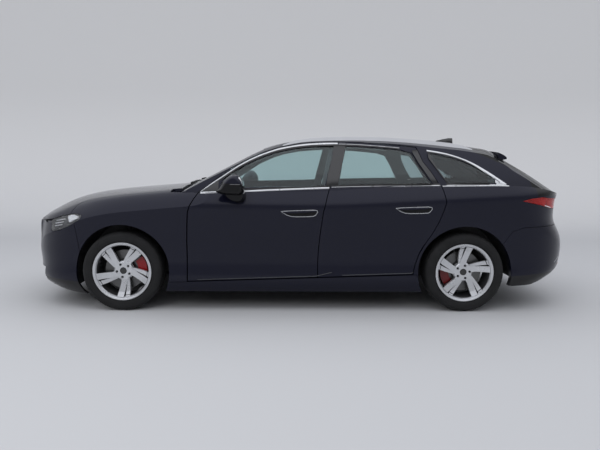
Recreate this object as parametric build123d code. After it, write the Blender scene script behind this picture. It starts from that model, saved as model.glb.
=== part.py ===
"""Mid-size station wagon, five doors, modelled as separate panels and parts.

Frame: +X forward, +Y to the car's left, +Z up.  The origin lies on the ground,
half way along the car and on its centre line.  All sizes are millimetres.

Every outer panel is cut from the same two closed forms: the lower body, lofted
through waterlines and trimmed by the bonnet and belt surfaces, and the
greenhouse, trimmed by the windscreen-roof-backlight surface.  A skin is the
form less the same form set in by the skin's thickness.
"""
from build123d import *
import os
from math import pi, cos, sin, tan, radians, sqrt, atan2, degrees
import numpy as np

# ---------------------------------------------------------------- driving sizes
LENGTH = 4829
WIDTH = 1860                 # over the door creases, without mirrors
WHEELBASE = 2895
FRONT_OVERHANG = 910
TRACK = 1580
TYRE_RADIUS = 336            # as it stands, loaded
TYRE_WIDTH = 225
RIM_RADIUS = 246             # over the flange
ARCH_RADIUS = 398
SILL_HEIGHT = 165            # underside of the rocker
SHUT_GAP = 7                 # between a moving panel and its neighbours
SWING_GAP = 9.5              # ahead of the front doors, whose front edges swing past the fenders
SEAM = 4                     # between two fixed panels
SKIN = 25                    # fenders, bumpers and other thin panels
DOOR_DEPTH = 95              # lower part of a door
FRAME_DEPTH = 34             # window frame of a door
GLASS = 5
PANE_GAP = 0.4               # between a pane and the frame that holds it
GLASS_INSET = 6              # glass face below the surface round it
DOOR_SLANT = (7, 18)         # degrees, front door's rear edge: below and above the belt
REAR_DOOR_SLANT = (9, 24)
FRONT_HINGE_X, REAR_HINGE_X = 890, -240   # door hinge pins, fore and aft
HINGE_Y = 913                # and out from the centre line
HINGE_LOW, HINGE_HIGH = 786, 846
PIN_RADIUS = 4.5
SEAT_GAP = 0.3               # running clearance at pins and rests
SILL_GAP = 10                # under the doors
GATE_GAP = 8                 # beside the tailgate
STEER_ANGLE = 33
LINER = 11                   # wheel housing wall
LINER_OUT = 900
QUARTER_DEPTH = 55           # quarter panel wall, with its inner panel
FLOOR_HALF = 705             # floor pan's half width, between the rockers

HALF = LENGTH / 2
FRONT_AXLE = HALF - FRONT_OVERHANG
REAR_AXLE = FRONT_AXLE - WHEELBASE
NOSE_START = 1300            # the side is straight between these two stations
TAIL_START = -1500
NOSE_POWER = 3.0
TAIL_POWER = 3.3


# ---------------------------------------------------------------- curve helpers
def curve(*points):
    """A natural cubic through (station, value) pairs, as a function."""
    pts = sorted(points)
    xs = np.array([p[0] for p in pts], float)
    ys = np.array([p[1] for p in pts], float)
    n, h = len(xs), np.diff(xs)
    a, r = np.zeros((n, n)), np.zeros(n)
    a[0, 0] = a[-1, -1] = 1
    for i in range(1, n - 1):
        a[i, i - 1], a[i, i], a[i, i + 1] = h[i - 1], 2 * (h[i - 1] + h[i]), h[i]
        r[i] = 6 * ((ys[i + 1] - ys[i]) / h[i] - (ys[i] - ys[i - 1]) / h[i - 1])
    m = np.linalg.solve(a, r)

    def value(x):
        x = min(max(x, xs[0]), xs[-1])
        i = min(max(int(np.searchsorted(xs, x)) - 1, 0), n - 2)
        s, t = (xs[i + 1] - x) / h[i], (x - xs[i]) / h[i]
        bend = ((s ** 3 - s) * m[i] + (t ** 3 - t) * m[i + 1]) * h[i] ** 2 / 6
        return float(s * ys[i] + t * ys[i + 1] + bend)
    return value


def smooth(x, low, high):
    t = min(max((x - low) / (high - low), 0.0), 1.0)
    return t * t * (3 - 2 * t)


# ---------------------------------------------------------------- master curves
# How far the nose, the tail and the side stand inside the extremes, by height.
nose_setback = curve((120, 215), (150, 125), (190, 62), (226, 24), (262, 10), (330, 14),
                     (400, 10), (462, 1), (520, 3), (600, 12), (680, 18), (760, 28),
                     (850, 60), (950, 100), (1060, 150), (1250, 260))
tail_setback = curve((120, 300), (180, 235), (240, 175), (292, 90), (320, 55), (383, 20),
                     (450, 8), (520, 1), (583, 10), (640, 32), (690, 78), (745, 95),
                     (850, 95), (905, 78), (940, 74), (975, 104), (1010, 128), (1060, 150),
                     (1100, 185), (1250, 330))
side_tuck = curve((120, 90), (165, 60), (215, 38), (270, 25), (330, 28), (400, 36),
                  (480, 38), (560, 33), (640, 23), (720, 13), (800, 6), (870, 0.5),
                  (905, 2), (950, 19), (1000, 50), (1040, 78), (1080, 108), (1250, 200))
crease_rise = curve((-2450, 84), (-1655, 70), (-1205, 44), (-822, 22), (-182, -6),
                    (450, -4), (950, 0), (2450, 0))
bonnet_line = curve((560, 1190), (900, 1067), (1050, 1051), (1230, 1036), (1570, 1008),
                    (1770, 987), (1964, 955), (2062, 929), (2161, 892), (2261, 842),
                    (2361, 785), (2420, 742), (2520, 655), (2760, 400))
roof_line = curve((1450, 760), (1150, 962), (974, 1066), (779, 1169), (584, 1272),
                  (371, 1377), (196, 1431), (60, 1456), (-200, 1473), (-500, 1477),
                  (-800, 1471), (-1100, 1455), (-1400, 1430), (-1600, 1406),
                  (-1740, 1377), (-1861, 1308), (-2053, 1190), (-2248, 1058),
                  (-2400, 955), (-2700, 750))
tumblehome = curve((940, 886), (1016, 864), (1100, 833), (1200, 787), (1300, 730),
                   (1400, 660), (1500, 575))
belt_line = curve((1100, 990), (845, 1001), (428, 1019), (10, 1038), (-492, 1056),
                  (-1164, 1070), (-1669, 1078), (-1900, 1069), (-2100, 1040),
                  (-2250, 1004), (-2450, 950))
window_top = curve((840, 1010), (682, 1116), (518, 1226), (352, 1309), (182, 1367),
                   (0, 1400), (-160, 1413), (-320, 1417), (-510, 1412), (-860, 1386),
                   (-1120, 1356), (-1290, 1322), (-1450, 1263), (-1600, 1177),
                   (-1735, 1086))
door_split = curve((240, -140), (530, -144), (682, -159), (850, -182), (1050, -236),
                   (1240, -280), (1440, -322))


def half_width(z):
    return WIDTH / 2 - side_tuck(z)


def skin_y(z):
    """Half width of the outer surface along the doors."""
    return half_width(z) if z < 1040 else min(half_width(z), tumblehome(z))


def crease_lift(x, z):
    return crease_rise(x) * smooth(z, 560, 860) * (1 - smooth(z, 1090, 1240))


def plan_half(x):
    """Half width of the plan at crease height, down to a least value at the ends."""
    b = WIDTH / 2
    if x > NOSE_START:
        u = min((x - NOSE_START) / (HALF - 30 - NOSE_START), 0.93)
        return b * (1 - u ** NOSE_POWER) ** (1 / NOSE_POWER)
    if x < TAIL_START:
        u = min((TAIL_START - x) / (HALF - 90 + TAIL_START), 0.93)
        return b * (1 - u ** TAIL_POWER) ** (1 / TAIL_POWER)
    return b


def narrowing(x):
    """How much the greenhouse closes in towards the screen and the tailgate."""
    front = max(0.0, x - 200) / 900
    rear = max(0.0, -700 - x) / 1600
    return 42 * front ** 2 + 112 * rear ** 2


def bonnet_z(x, y):
    a = abs(y)
    back = 200 * (a / 700) ** 2.2 * (0.12 + 0.88 * smooth(x, 1000, 2250))
    side = min(max(0.0, a / plan_half(x) * WIDTH / 2 - 765) / 165, 1.2)
    return bonnet_line(x + back) - 20 * (a / 700) ** 2 - 128 * side ** 2


def roof_half(x):
    """Half width of the greenhouse where its top surface meets its side."""
    return tumblehome(min(max(roof_line(x), 960), 1440)) - narrowing(x)


def roof_z(x, y):
    a = abs(y) / roof_half(x)
    front = 40 * a ** 2.2 * smooth(x, -250, 550)
    rear = 95 * a ** 2.2 * smooth(-x, 1350, 1800)
    edge = min(max(0.0, a - 0.8) / 0.2, 1.25)
    fall = 24 - 16 * smooth(x, 0, 500)
    return roof_line(x + front - rear) - 16 * a ** 2 - fall * edge ** 2


# ---------------------------------------------------------------- solid helpers
def prism(points, axis, low, high):
    """A straight block: the outline runs in the plane across the given axis."""
    if axis == "y":
        pts = [Vector(a, low, b) for a, b in points]
        d = (0, high - low, 0)
    elif axis == "z":
        pts = [Vector(a, b, low) for a, b in points]
        d = (0, 0, high - low)
    else:
        pts = [Vector(low, a, b) for a, b in points]
        d = (high - low, 0, 0)
    return Solid.extrude(Face(Wire.make_polygon(pts, close=True)), d)


def block(x0, x1, y0, y1, z0, z1):
    return Pos((x0 + x1) / 2, (y0 + y1) / 2, (z0 + z1) / 2) * Box(abs(x1 - x0), abs(y1 - y0), abs(z1 - z0))


def drum(x, y, z, radius, width):
    """A cylinder along Y centred on a point."""
    return Pos(x, y, z) * Rot(90, 0, 0) * Cylinder(radius, width)


def right(shape):
    return mirror(shape, about=Plane.XZ)


def both(shape):
    return Compound([*shape.solids(), *right(shape).solids()])


def turned(profile):
    """Revolve an (axial, radius) outline about the Y axis."""
    face = Face(Wire.make_polygon([Vector(r, y, 0) for y, r in profile], close=True))
    return Solid.revolve(face, 360, Axis.Y)


def sheet(height, x0, x1, reach, nx, ny):
    """A smooth face over a strip along X that is as wide as reach(x) each way."""
    rows = []
    for i in range(nx + 1):
        x = x0 + (x1 - x0) * i / nx
        ys = [reach(x) * (2 * j / ny - 1) for j in range(ny + 1)]
        rows.append([Vector(x, y, height(x, y)) for y in ys])
    return Face.make_surface_from_array_of_points(rows, tol=0.2, min_deg=3, max_deg=3)


def biggest(shape):
    return max(shape.solids(), key=lambda s: s.volume)


# ---------------------------------------------------------------- lower body
def waterline(z, inset):
    b = half_width(z) - inset
    nose = HALF - nose_setback(z) - inset - NOSE_START
    tail = HALF - tail_setback(z) - inset + TAIL_START

    def at(start, reach, power, angle):
        c, s = cos(angle), sin(angle)
        r = 1 / (abs(c) ** power + abs(s) ** power) ** (1 / power)
        x = start + reach * r * c
        return Vector(x, b * r * s, z + crease_lift(x, z))

    n = 20
    par = [i / n for i in range(n + 1)]
    front = [at(NOSE_START, nose, NOSE_POWER, -pi / 2 + pi * t) for t in par]
    back = [at(TAIL_START, -tail, TAIL_POWER, pi / 2 - pi * t) for t in par]
    stations = [NOSE_START + (TAIL_START - NOSE_START) * i / 7 for i in range(8)]
    side = [Vector(x, b, z + crease_lift(x, z)) for x in stations]
    other = [Vector(v.X, -v.Y, v.Z) for v in reversed(side)]
    return Wire([Edge.make_spline(front, tangents=[(1, 0, 0), (-1, 0, 0)], parameters=par, scale=True),
                 Edge.make_spline(side),
                 Edge.make_spline(back, tangents=[(-1, 0, 0), (1, 0, 0)], parameters=par, scale=True),
                 Edge.make_spline(other)])


WATERLINES = [120, 150, 190, 226, 270, 330, 400, 480, 560, 640, 720, 800, 865, 905, 950,
              1000, 1050, 1100, 1250]


def hull_form(inset=0):
    """The lower body before its top is trimmed."""
    return Solid.make_loft([waterline(z, inset) for z in WATERLINES])


def lower_form(inset=0):
    """The closed lower body, set in by the given amount on the sides and the top."""
    form = hull_form(inset)
    bonnet = sheet(lambda x, y: bonnet_z(x, y) - inset, 600, 2520,
                   lambda x: 1.07 * plan_half(x) + 10, 40, 40)
    form = form - Solid.extrude(bonnet, (0, 0, 900))
    xs = [900, 845, 650, 428, 200, 10, -240, -492, -828, -1164, -1400, -1669, -1800, -1900,
          -2000, -2100, -2180, -2250, -2350, -2450]
    top = [(x, belt_line(x) - inset) for x in xs]
    return form - prism(top + [(-2450, 1500), (900, 1500)], "y", -1000, 1000)


def greenhouse_ring(z, inset):
    stations = [1450, 1100, 800, 500, 200, -200, -600, -1000, -1400, -1800, -2200, -2600]
    side = [Vector(x, tumblehome(z) - narrowing(x) - inset, z) for x in stations]
    other = [Vector(v.X, -v.Y, v.Z) for v in reversed(side)]
    return Wire([Edge.make_spline(side), Edge.make_line(side[-1], other[0]),
                 Edge.make_spline(other), Edge.make_line(other[-1], side[0])])


def house_form(inset=0):
    """The greenhouse before its top is trimmed."""
    return Solid.make_loft([greenhouse_ring(z, inset) for z in (940, 1016, 1100, 1200, 1300, 1400, 1500)])


def greenhouse_form(inset=0):
    form = house_form(inset)
    roof = sheet(lambda x, y: roof_z(x, y) - inset, -2700, 1450, lambda x: 1.12 * roof_half(x), 56, 32)
    form = form - Solid.extrude(roof, (0, 0, 900))
    behind = block(-2800, -2000, -1000, 1000, 900, 1060) - hull_form(inset)
    return form - behind


_forms = {}


def lower(inset):
    if ("lower", inset) not in _forms:
        _forms["lower", inset] = lower_form(inset)
    return _forms["lower", inset]


def upper(inset):
    if ("upper", inset) not in _forms:
        _forms["upper", inset] = greenhouse_form(inset)
    return _forms["upper", inset]


def lower_skin(thick, outer=0):
    """Side and top of the lower body."""
    return lower(outer) - lower(outer + thick)


def wall_skin(thick, outer=0):
    """Side of the lower body alone, up to its trimmed top."""
    return lower(outer) - hull_form(outer + thick)


def upper_skin(thick, outer=0):
    """Side and top of the greenhouse."""
    return upper(outer) - upper(outer + thick)


def pane_skin(thick, outer=0):
    """Side of the greenhouse alone, up to its trimmed top."""
    return upper(outer) - house_form(outer + thick)


# ---------------------------------------------------------------- door outlines
DOOR_OUT, DOOR_IN = 1000, 470          # planes between which a door block is lofted
FRAME_BAND = 20                        # frame above the glass
SILL_FRONT, SILL_REAR = 262, 326       # door bottom edge at the two ends
DOOR_FRONT_X, DOOR_REAR_X = 950, -946


def door_bottom(x):
    return SILL_FRONT + (SILL_REAR - SILL_FRONT) * (DOOR_FRONT_X - x) / (DOOR_FRONT_X - DOOR_REAR_X)


def slant(z, angles):
    """The edge slants more in the window frame, which lies further inside the hinge."""
    return angles[0] + (angles[1] - angles[0]) * smooth(z, 1000, 1130)


def split_points(shift, low, high):
    zs = [low, 400, 530, 682, 850, 960, 1050, 1150, 1240, 1330, high]
    return [(door_split(z) + shift, z, slant(z, DOOR_SLANT)) for z in zs]


def door_block(outline):
    """Loft the outline, whose third value is the edge's slant, across the door."""
    outer = [Vector(x - (DOOR_OUT - skin_y(z)) * tan(radians(s)), DOOR_OUT, z) for x, z, s in outline]
    inner = [Vector(x + (skin_y(z) - DOOR_IN) * tan(radians(s)), DOOR_IN, z) for x, z, s in outline]
    return Solid.make_loft([Wire.make_polygon(outer, close=True),
                            Wire.make_polygon(inner, close=True)], ruled=True)


def frame_top(stations, rise, slant=0):
    return [(x, window_top(x) + rise, slant) for x in stations]


def front_door_outline(grow=0):
    """Front door as seen from the side; grow widens it all round for its opening."""
    g = grow
    lead = g * SWING_GAP / SHUT_GAP
    front = [(950 + lead, door_bottom(950) - g, 0), (950 + lead, 600, 0), (944 + lead, 736, 0),
             (938 + lead, 836, 0), (921 + lead, 895, 0), (890 + lead, 953, 0), (852 + lead, 1008, 0)]
    top = frame_top([700, 520, 352, 182, 0, -160], FRAME_BAND + g)
    end = split_points(-g, door_bottom(-140) - g, window_top(-320) + FRAME_BAND + g)
    return front + top + end[::-1]


def rear_door_outline(grow=0):
    g = grow
    front = split_points(-SHUT_GAP + g, door_bottom(-150) - g, window_top(-330) + FRAME_BAND + g)
    top = frame_top([-510, -690, -860], FRAME_BAND + g)
    rear = [(-992, 1392 + g), (-1030, 1272), (-1090, 1180), (-1150, 1092), (-1186, 1010), (-1203, 935),
            (-1187, 870), (-1150, 770), (-1098, 670), (-1040, 580), (-992, 490), (-962, 400),
            (-946, door_bottom(-946) - g)]
    return front + top + [(x - g, z, slant(z, REAR_DOOR_SLANT)) for x, z in rear]


WINDOW_RIM = 13                        # frame seen round the glass


def front_window(rim):
    """Outline of the front door's glass, drawn in by rim."""
    top = [(x, window_top(x) - rim) for x in (640, 520, 352, 182, 0, -160)]
    return ([(700 - rim, belt_line(700) + 22 + rim), (690 - rim, window_top(700) - rim - 18)] + top
            + [(-282, window_top(-282) - rim), (-262, 1300), (-222, 1150), (-200, belt_line(-200) + 6 + rim)])


def rear_window(rim):
    top = [(x, window_top(x) - rim) for x in (-390, -510, -690, -860)]
    return ([(-300, belt_line(-300) + 6 + rim), (-322, 1150), (-362, 1300), (-380, window_top(-380) - rim)]
            + top + [(-958 + rim, 1345), (-1000 + rim, 1262), (-1060 + rim, 1170), (-1118 + rim, belt_line(-1110) + 6 + rim)])


def quarter_window(rim):
    top = [(x, window_top(x) - rim) for x in (-1120, -1200, -1290, -1370, -1450, -1530, -1600, -1680)]
    return ([(-1244, belt_line(-1244) + 8 + rim), (-1182, 1180), (-1124, 1280), (-1104, window_top(-1104) - rim)]
            + top + [(-1712, belt_line(-1700) + 8 + rim)])


def window_block(points, gap=0):
    """The hole for a pane, or with a gap the pane that sits in it."""
    wire = Wire.make_polygon([Vector(x, 450, z) for x, z in points], close=True)
    if gap:
        wire = wire.offset_2d(-gap, kind=Kind.INTERSECTION)
    return Solid.extrude(Face(wire), (0, 550, 0))


arch_front = drum(FRONT_AXLE, 0, TYRE_RADIUS, ARCH_RADIUS, 2400)
arch_rear = drum(REAR_AXLE, 0, TYRE_RADIUS, ARCH_RADIUS, 2400)
BODY_TOP, BODY_SIDE = 1600, 1000

# ---------------------------------------------------------------- doors and glass
low_door_skin = wall_skin(DOOR_DEPTH)
frame_skin = pane_skin(FRAME_DEPTH)
glass_skin = pane_skin(GLASS, GLASS_INSET)
SHOULDER = 30                          # the door shell runs up inside its window frame


def make_door(outline, window):
    solid = door_block(outline)
    shell = biggest(low_door_skin & solid)
    frame = biggest((frame_skin & solid) - window_block(window))
    return biggest(shell + frame)


front_door = make_door(front_door_outline(), front_window(WINDOW_RIM))
rear_door = biggest(make_door(rear_door_outline(), rear_window(WINDOW_RIM)) - drum(REAR_AXLE, 0, TYRE_RADIUS, ARCH_RADIUS + 30, 2400))
front_glass = biggest(glass_skin & window_block(front_window(WINDOW_RIM), PANE_GAP))
rear_glass = biggest(glass_skin & window_block(rear_window(WINDOW_RIM), PANE_GAP))

# ---------------------------------------------------------------- side frames
# The door openings are left by the same outlines, grown by the shut gap.  Behind the
# doors the frame keeps clear of the swinging front edges.
PILLAR_OUT = DOOR_DEPTH + 20           # pillar face below the body side
PILLAR_DEPTH = 62
RAIL_DEPTH = 40                        # cant rail and upper pillars behind the door frame
FRAME_SEAL = FRAME_DEPTH + 6
BELT_BASE = 1050

front_opening = door_block(front_door_outline(SHUT_GAP))
rear_opening = door_block(rear_door_outline(SHUT_GAP))
cabin_end = prism([(-946, 100), (-946, 420), (-1000, 560), (-1110, 700), (-1225, 860), (-1240, 960),
                   (-1225, 1100), (-1090, 1300), (-1060, 1600), (1012, 1600), (1012, 100)], "y", 0, BODY_SIDE)


def seen_hole(points):
    return prism(points, "y", 0, BODY_SIDE)


front_hole = seen_hole([(860, 330), (870, 700), (850, 900), (790, 1000), (600, 1128), (430, 1238), (300, 1300),
                        (150, 1345), (0, 1372), (-250, 1392), (-215, 1240), (-165, 1040), (-105, 850), (-60, 600),
                        (-55, 330)])
rear_hole = seen_hole([(-235, 330), (-240, 600), (-262, 850), (-318, 1050), (-352, 1240), (-392, 1388), (-600, 1378),
                       (-830, 1358), (-930, 1330), (-1000, 1230), (-1080, 1080), (-1105, 960), (-1060, 820),
                       (-960, 650), (-900, 500), (-880, 340)])

# All pillars share one section below the belt.
PILLAR_SECTION = [(757, 180), (757, 860), (752, 950), (742, 1000), (732, 1060), (732, 1100),
                  (690, 1100), (690, 1000), (FLOOR_HALF, 930), (FLOOR_HALF, 180)]
pillars = prism(PILLAR_SECTION, "x", -1260, 1012)
pillars = pillars + (block(-1260, 1012, 690, 800, 1080, 1125) & upper(GLASS_INSET + GLASS) & house_form(FRAME_SEAL + 1))
pillars = pillars - block(850, 1012, 0, 900, 1000, 1200)
hinge_post = (block(960, 1012, FLOOR_HALF, 900, 180, 1040) & lower(SKIN)) - block(950, 1020, 0, 775, 985, 1100)
pillars = ((pillars & cabin_end) - front_hole - rear_hole) + hinge_post
wheel_house = drum(REAR_AXLE, 0, TYRE_RADIUS, ARCH_RADIUS + LINER + 0.5, 2400)
pillars = pillars - wheel_house
above_belt = prism([(x, belt_line(x) + 10) for x in (1012, 845, 428, 10, -492, -1164, -1300)]
                   + [(-1300, 1600), (1012, 1600)], "y", 0, BODY_SIDE)
upper_band = pane_skin(RAIL_DEPTH, FRAME_SEAL) & cabin_end & above_belt & block(-1240, 960, 0, 1000, 1000, 1500)
upper_band = upper_band - front_hole - rear_hole
rocker_outline = [(1106, SILL_HEIGHT), (1106, door_bottom(1106) - SILL_GAP),
                  (-985, door_bottom(-985) - SILL_GAP), (-985, SILL_HEIGHT)]
rocker = (lower(0) & prism(rocker_outline, "y", FLOOR_HALF, BODY_SIDE)) - wheel_house
outer_rail = pane_skin(FRAME_SEAL + RAIL_DEPTH) & cabin_end & block(-1240, 1012, 0, 1000, 975, 1500)
outer_rail = outer_rail - front_opening - rear_opening - front_hole - rear_hole

side_frame = pillars + rocker
side_frame = side_frame + upper_band
side_frame = side_frame + outer_rail
print("side frame", [round(s.volume / 1e6, 2) for s in side_frame.solids()], side_frame.bounding_box())



def hinge_leaf(x):
    """The body's half of a door hinge: a leaf out of the pillar, with its pin."""
    leaf = block(x - 6, x + 6, 750, HINGE_Y, HINGE_LOW + 6, HINGE_HIGH - 6)
    return leaf + Pos(x, HINGE_Y, (HINGE_LOW + HINGE_HIGH) / 2) * Cylinder(PIN_RADIUS, HINGE_HIGH - HINGE_LOW + 16)


def hinge_pocket(x):
    """The door's half: a pocket for the leaf, open to the front, and the pin's hole."""
    pocket = block(x - 13, x + 90, 700, HINGE_Y + 6, HINGE_LOW, HINGE_HIGH)
    hole = Cylinder(PIN_RADIUS + SEAT_GAP, HINGE_HIGH - HINGE_LOW + 20)
    return pocket + Pos(x, HINGE_Y, (HINGE_LOW + HINGE_HIGH) / 2) * hole


front_door = biggest(front_door - hinge_pocket(FRONT_HINGE_X))
rear_door = biggest(rear_door - hinge_pocket(REAR_HINGE_X))
side_frame = side_frame + hinge_leaf(FRONT_HINGE_X)
side_frame = side_frame + hinge_leaf(REAR_HINGE_X)

# ---------------------------------------------------------------- outer skins
top_skin = upper_skin(30)
RAIL_BAND = FRAME_SEAL + RAIL_DEPTH + SEAM      # the cant rail's width, with its seam
inner_house = house_form(RAIL_BAND)
HEADER_X, SCREEN_FOOT, TAILGATE_X = 330, 1012, -1740
roof_plan = house_form(FRAME_SEAL + RAIL_DEPTH + SEAT_GAP)
roof_panel = biggest(top_skin & roof_plan & block(TAILGATE_X + SHUT_GAP, HEADER_X, -800, 800, 1200, 1500))
windscreen = biggest(upper_skin(GLASS, GLASS_INSET) & inner_house & block(HEADER_X + SEAM, SCREEN_FOOT, -900, 900, 960, 1500))

side_frame = biggest(side_frame - windscreen)

body_skin = lower_skin(SKIN)
bonnet_plan = [(1040, 0), (1036, 350), (1024, 700), (1250, 704), (1550, 714), (1880, 735), (1960, 790), (2100, 860),
               (2500, 860), (2500, -860), (2100, -860), (1960, -790), (1880, -735), (1550, -714), (1250, -704),
               (1024, -700), (1036, -350)]
LAMP_TOP = [(1840, 806), (1896, 815), (1960, 808), (2042, 794), (2148, 760), (2260, 742), (2500, 726)]
LAMP_VIEW = [(1840, 806), (1896, 815), (1960, 808), (2042, 794), (2150, 759), (2166, 740), (2146, 668),
             (2124, 660), (2051, 676), (1947, 720), (1868, 762), (1846, 784)]
bonnet_floor = prism([(1850, 815)] + LAMP_TOP[1:] + [(2500, 300), (1850, 300)], "y", -1000, 1000)
bonnet_region = prism(bonnet_plan, "z", 600, 1200) - bonnet_floor
bonnet = biggest(body_skin & bonnet_region)

bonnet_opening = prism([(x - 8 if x < 1100 else x, y + (SHUT_GAP if y > 0 else -SHUT_GAP if y < 0 else 0))
                        for x, y in bonnet_plan], "z", 600, 1200) - prism(
    [(1850, 815 - 6)] + [(x, z - 6) for x, z in LAMP_TOP[1:]] + [(2500, 300), (1850, 300)], "y", -1000, 1000)
lamp_region = prism(LAMP_VIEW, "y", 330, 1000)
lamp_centre = Vector(1990, 0, 745)
lamp_opening = prism([(lamp_centre.X + (x - lamp_centre.X) * 1.02, lamp_centre.Z + (z - lamp_centre.Z) * 1.04)
                      for x, z in LAMP_VIEW], "y", 327, 1000)
BUMPER_EDGE = [(1872, 500), (1890, 640), (1905, 735)]
fascia_region = prism([(1650, 100), (1650, 500)] + BUMPER_EDGE + [(1947, 716), (2051, 672), (2124, 658), (2160, 700),
                      (2160, 780), (2500, 760), (2500, 100)], "y", 0, 1000)
fender_region = prism([(800, 100), (800, 1200), (2000, 1200), (2000, 700), (1905 - SEAM, 735), (1890 - SEAM, 640),
                       (1872 - SEAM, 500), (1872 - SEAM, 420), (1700, 400), (1700, 100)], "y", 0, 1000)
sill_cut = prism([(x, z + (SEAM if z > 200 else -400)) for x, z in rocker_outline], "y", 0, 1000)
fender = (body_skin & fender_region) - front_opening - bonnet_opening - lamp_opening - arch_front - sill_cut
fender = fender - house_form(0).intersect(block(600, 1100, 0, 1000, 1002, 1300)) - block(0, 2500, 0, 560, 0, 1300)
fender = biggest(fender - block(600, 2100, 0, 700, 600, 1300) - block(600, 2100, 0, 1000, 0, SILL_HEIGHT) - side_frame)
GRILLE_HALF, GRILLE_LOW, GRILLE_HIGH = 300, 478, 728
lamp = biggest((lower_skin(QUARTER_DEPTH) & lamp_region) - bonnet_opening - block(0, 3000, 0, 345, 0, 1300))
print("fender", fender.bounding_box())
fascia_skin = lower(0) - hull_form(30)
half_fascia = (fascia_skin & fascia_region) - bonnet_opening - lamp_opening
half_fascia = half_fascia - block(2200, 2500, 0, GRILLE_HALF, GRILLE_LOW, 1000)
half_fascia = half_fascia - block(2200, 2500, 0, 640, 205, 330) - arch_front
fascia_top = [(x, z - 6) for x, z in LAMP_TOP[4:]]
half_fascia = half_fascia - prism(fascia_top + [(2500, 1300), (2148, 1300)], "y", 0, 1000) - fender_region
# A cover joins the fascia under the bonnet's front edge and closes the shut line from below.
nose_zone = block(2150, 2500, 0, 800, 690, 1000) - block(2200, 2500, 0, GRILLE_HALF, 0, GRILLE_HIGH + SEAT_GAP)
nose_lip = ((lower(SKIN) - hull_form(SKIN + 16)) & nose_zone) - bonnet_opening
nose_cover = (lower(SKIN + 6) - lower(SKIN + 16)) & nose_zone
half_fascia = half_fascia + (nose_lip + nose_cover - lamp_opening)
front_bumper = biggest(half_fascia + right(half_fascia))
print("bumper", front_bumper.bounding_box())

# ---------------------------------------------------------------- rear skins
REAR_BUMPER_LINE = [(-1690, 560), (-1780, 690), (-1880, 722), (-2500, 738)]
TAIL_LAMP = [(-1855, 949), (-1929, 968), (-2035, 978), (-2134, 966), (-2500, 950), (-2500, 862),
             (-2159, 879), (-2030, 913), (-1912, 937)]
tailgate_rear = [(520, 1500), (560, 1400), (600, 1300), (636, 1120), (636, 1000), (600, 950),
                 (572, 850), (556, 738)]
tailgate_view = tailgate_rear + [(-y, z) for y, z in reversed(tailgate_rear)]
tailgate_region = prism(tailgate_view, "x", -2500, TAILGATE_X)
opening_view = [(y + GATE_GAP, z) for y, z in tailgate_rear] + [(-y - GATE_GAP, z) for y, z in reversed(tailgate_rear)]
tailgate_opening = prism(opening_view, "x", -2500, TAILGATE_X + SHUT_GAP)
body_outer = lower(0) + upper(0)
body_inner = lower(QUARTER_DEPTH) + upper(QUARTER_DEPTH)
rear_shell = (body_outer - body_inner) & block(-2500, -900, -1000, 1000, 100, 1500)
print("rear shell", [round(x.volume / 1e6, 1) for x in rear_shell.solids()], rear_shell.is_valid)
bumper_block = prism([(-1500, 100), (-1500, 500)] + REAR_BUMPER_LINE + [(-2500, 100)], "y", -1000, 1000)
quarter_front = prism([(-946 - SHUT_GAP, 100), (-2500, 100), (-2500, 1600), (-946, 1600), (-1065, 1600), (-1095, 1300), (-1232, 1100),
                       (-1245, 960), (-1230, 860), (-1115, 700), (-1005, 560), (-951, 420)], "y", 0, 1000)
quarter = (rear_shell & block(-2500, -900, 0, 1000, 100, 1500)) - rear_opening - arch_rear
quarter = quarter - prism([(x, z + SEAM) for x, z in [(-1500, 500)] + REAR_BUMPER_LINE] + [(-2500, 100), (-1500, 100)], "y", -1000, 1000)
quarter = quarter - tailgate_opening - sill_cut - outer_rail - block(-2500, -900, 0, 440, 100, 1500)
quarter = quarter - house_form(RAIL_BAND - SEAM).intersect(block(TAILGATE_X - 30, -900, 0, 1000, 1150, 1600))
tail_lamp_region = prism(TAIL_LAMP, "y", 0, 1000)
tail_lamp = biggest((lower(0) - lower(QUARTER_DEPTH) - tailgate_opening) & tail_lamp_region & block(-2500, -1800, 572 + SHUT_GAP + 30, 1000, 800, 1000))
quarter = quarter - prism([(x + (3 if x > -1900 else 0), z + (3 if (z > 940 and x > -1930) or z > 945 else -3)) for x, z in TAIL_LAMP], "y", 572 + SHUT_GAP + 27, 1000)
quarter = quarter - window_block(quarter_window(WINDOW_RIM)) - tail_lamp
print("quarter", [round(x.volume / 1e6, 2) for x in quarter.solids()])
quarter = biggest(quarter - block(-1200, -900, 0, 1000, 0, SILL_HEIGHT))
quarter_glass = biggest(glass_skin & window_block(quarter_window(WINDOW_RIM), PANE_GAP))
tailgate = (rear_shell & tailgate_region) - block(-2500, 0, -1000, 1000, 0, 738 + SHUT_GAP)
SCREEN_HEAD = 1330
screen_view = [(480, SCREEN_HEAD), (520, 1290), (585, 1110), (575, 1040)]
screen_view = screen_view + [(-y, z) for y, z in reversed(screen_view)]
gate_step = prism([(y - 14, z) for y, z in tailgate_rear] + [(900, 950), (900, 1500)], "x", -2500, TAILGATE_X)
tailgate = tailgate - both(gate_step & block(-2500, -1700, 500, 900, 1000, 1500) & upper(30))
tailgate = biggest(tailgate - prism(screen_view, "x", -2500, TAILGATE_X))
tailgate_glass = biggest(upper_skin(GLASS, GLASS_INSET) & prism([(y - (0.3 if y > 0 else -0.3), z + (0.3 if z < 1200 else -0.3))
                         for y, z in screen_view], "x", -2500, TAILGATE_X))
rear_bumper = (rear_shell + (wall_skin(QUARTER_DEPTH) & block(-2500, -1500, -1000, 1000, 100, 400))) & bumper_block
BUMPER_UNDER = [(-1600, 250), (-1800, 222), (-1983, 222), (-2162, 258), (-2262, 290), (-2330, 330)]
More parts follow.
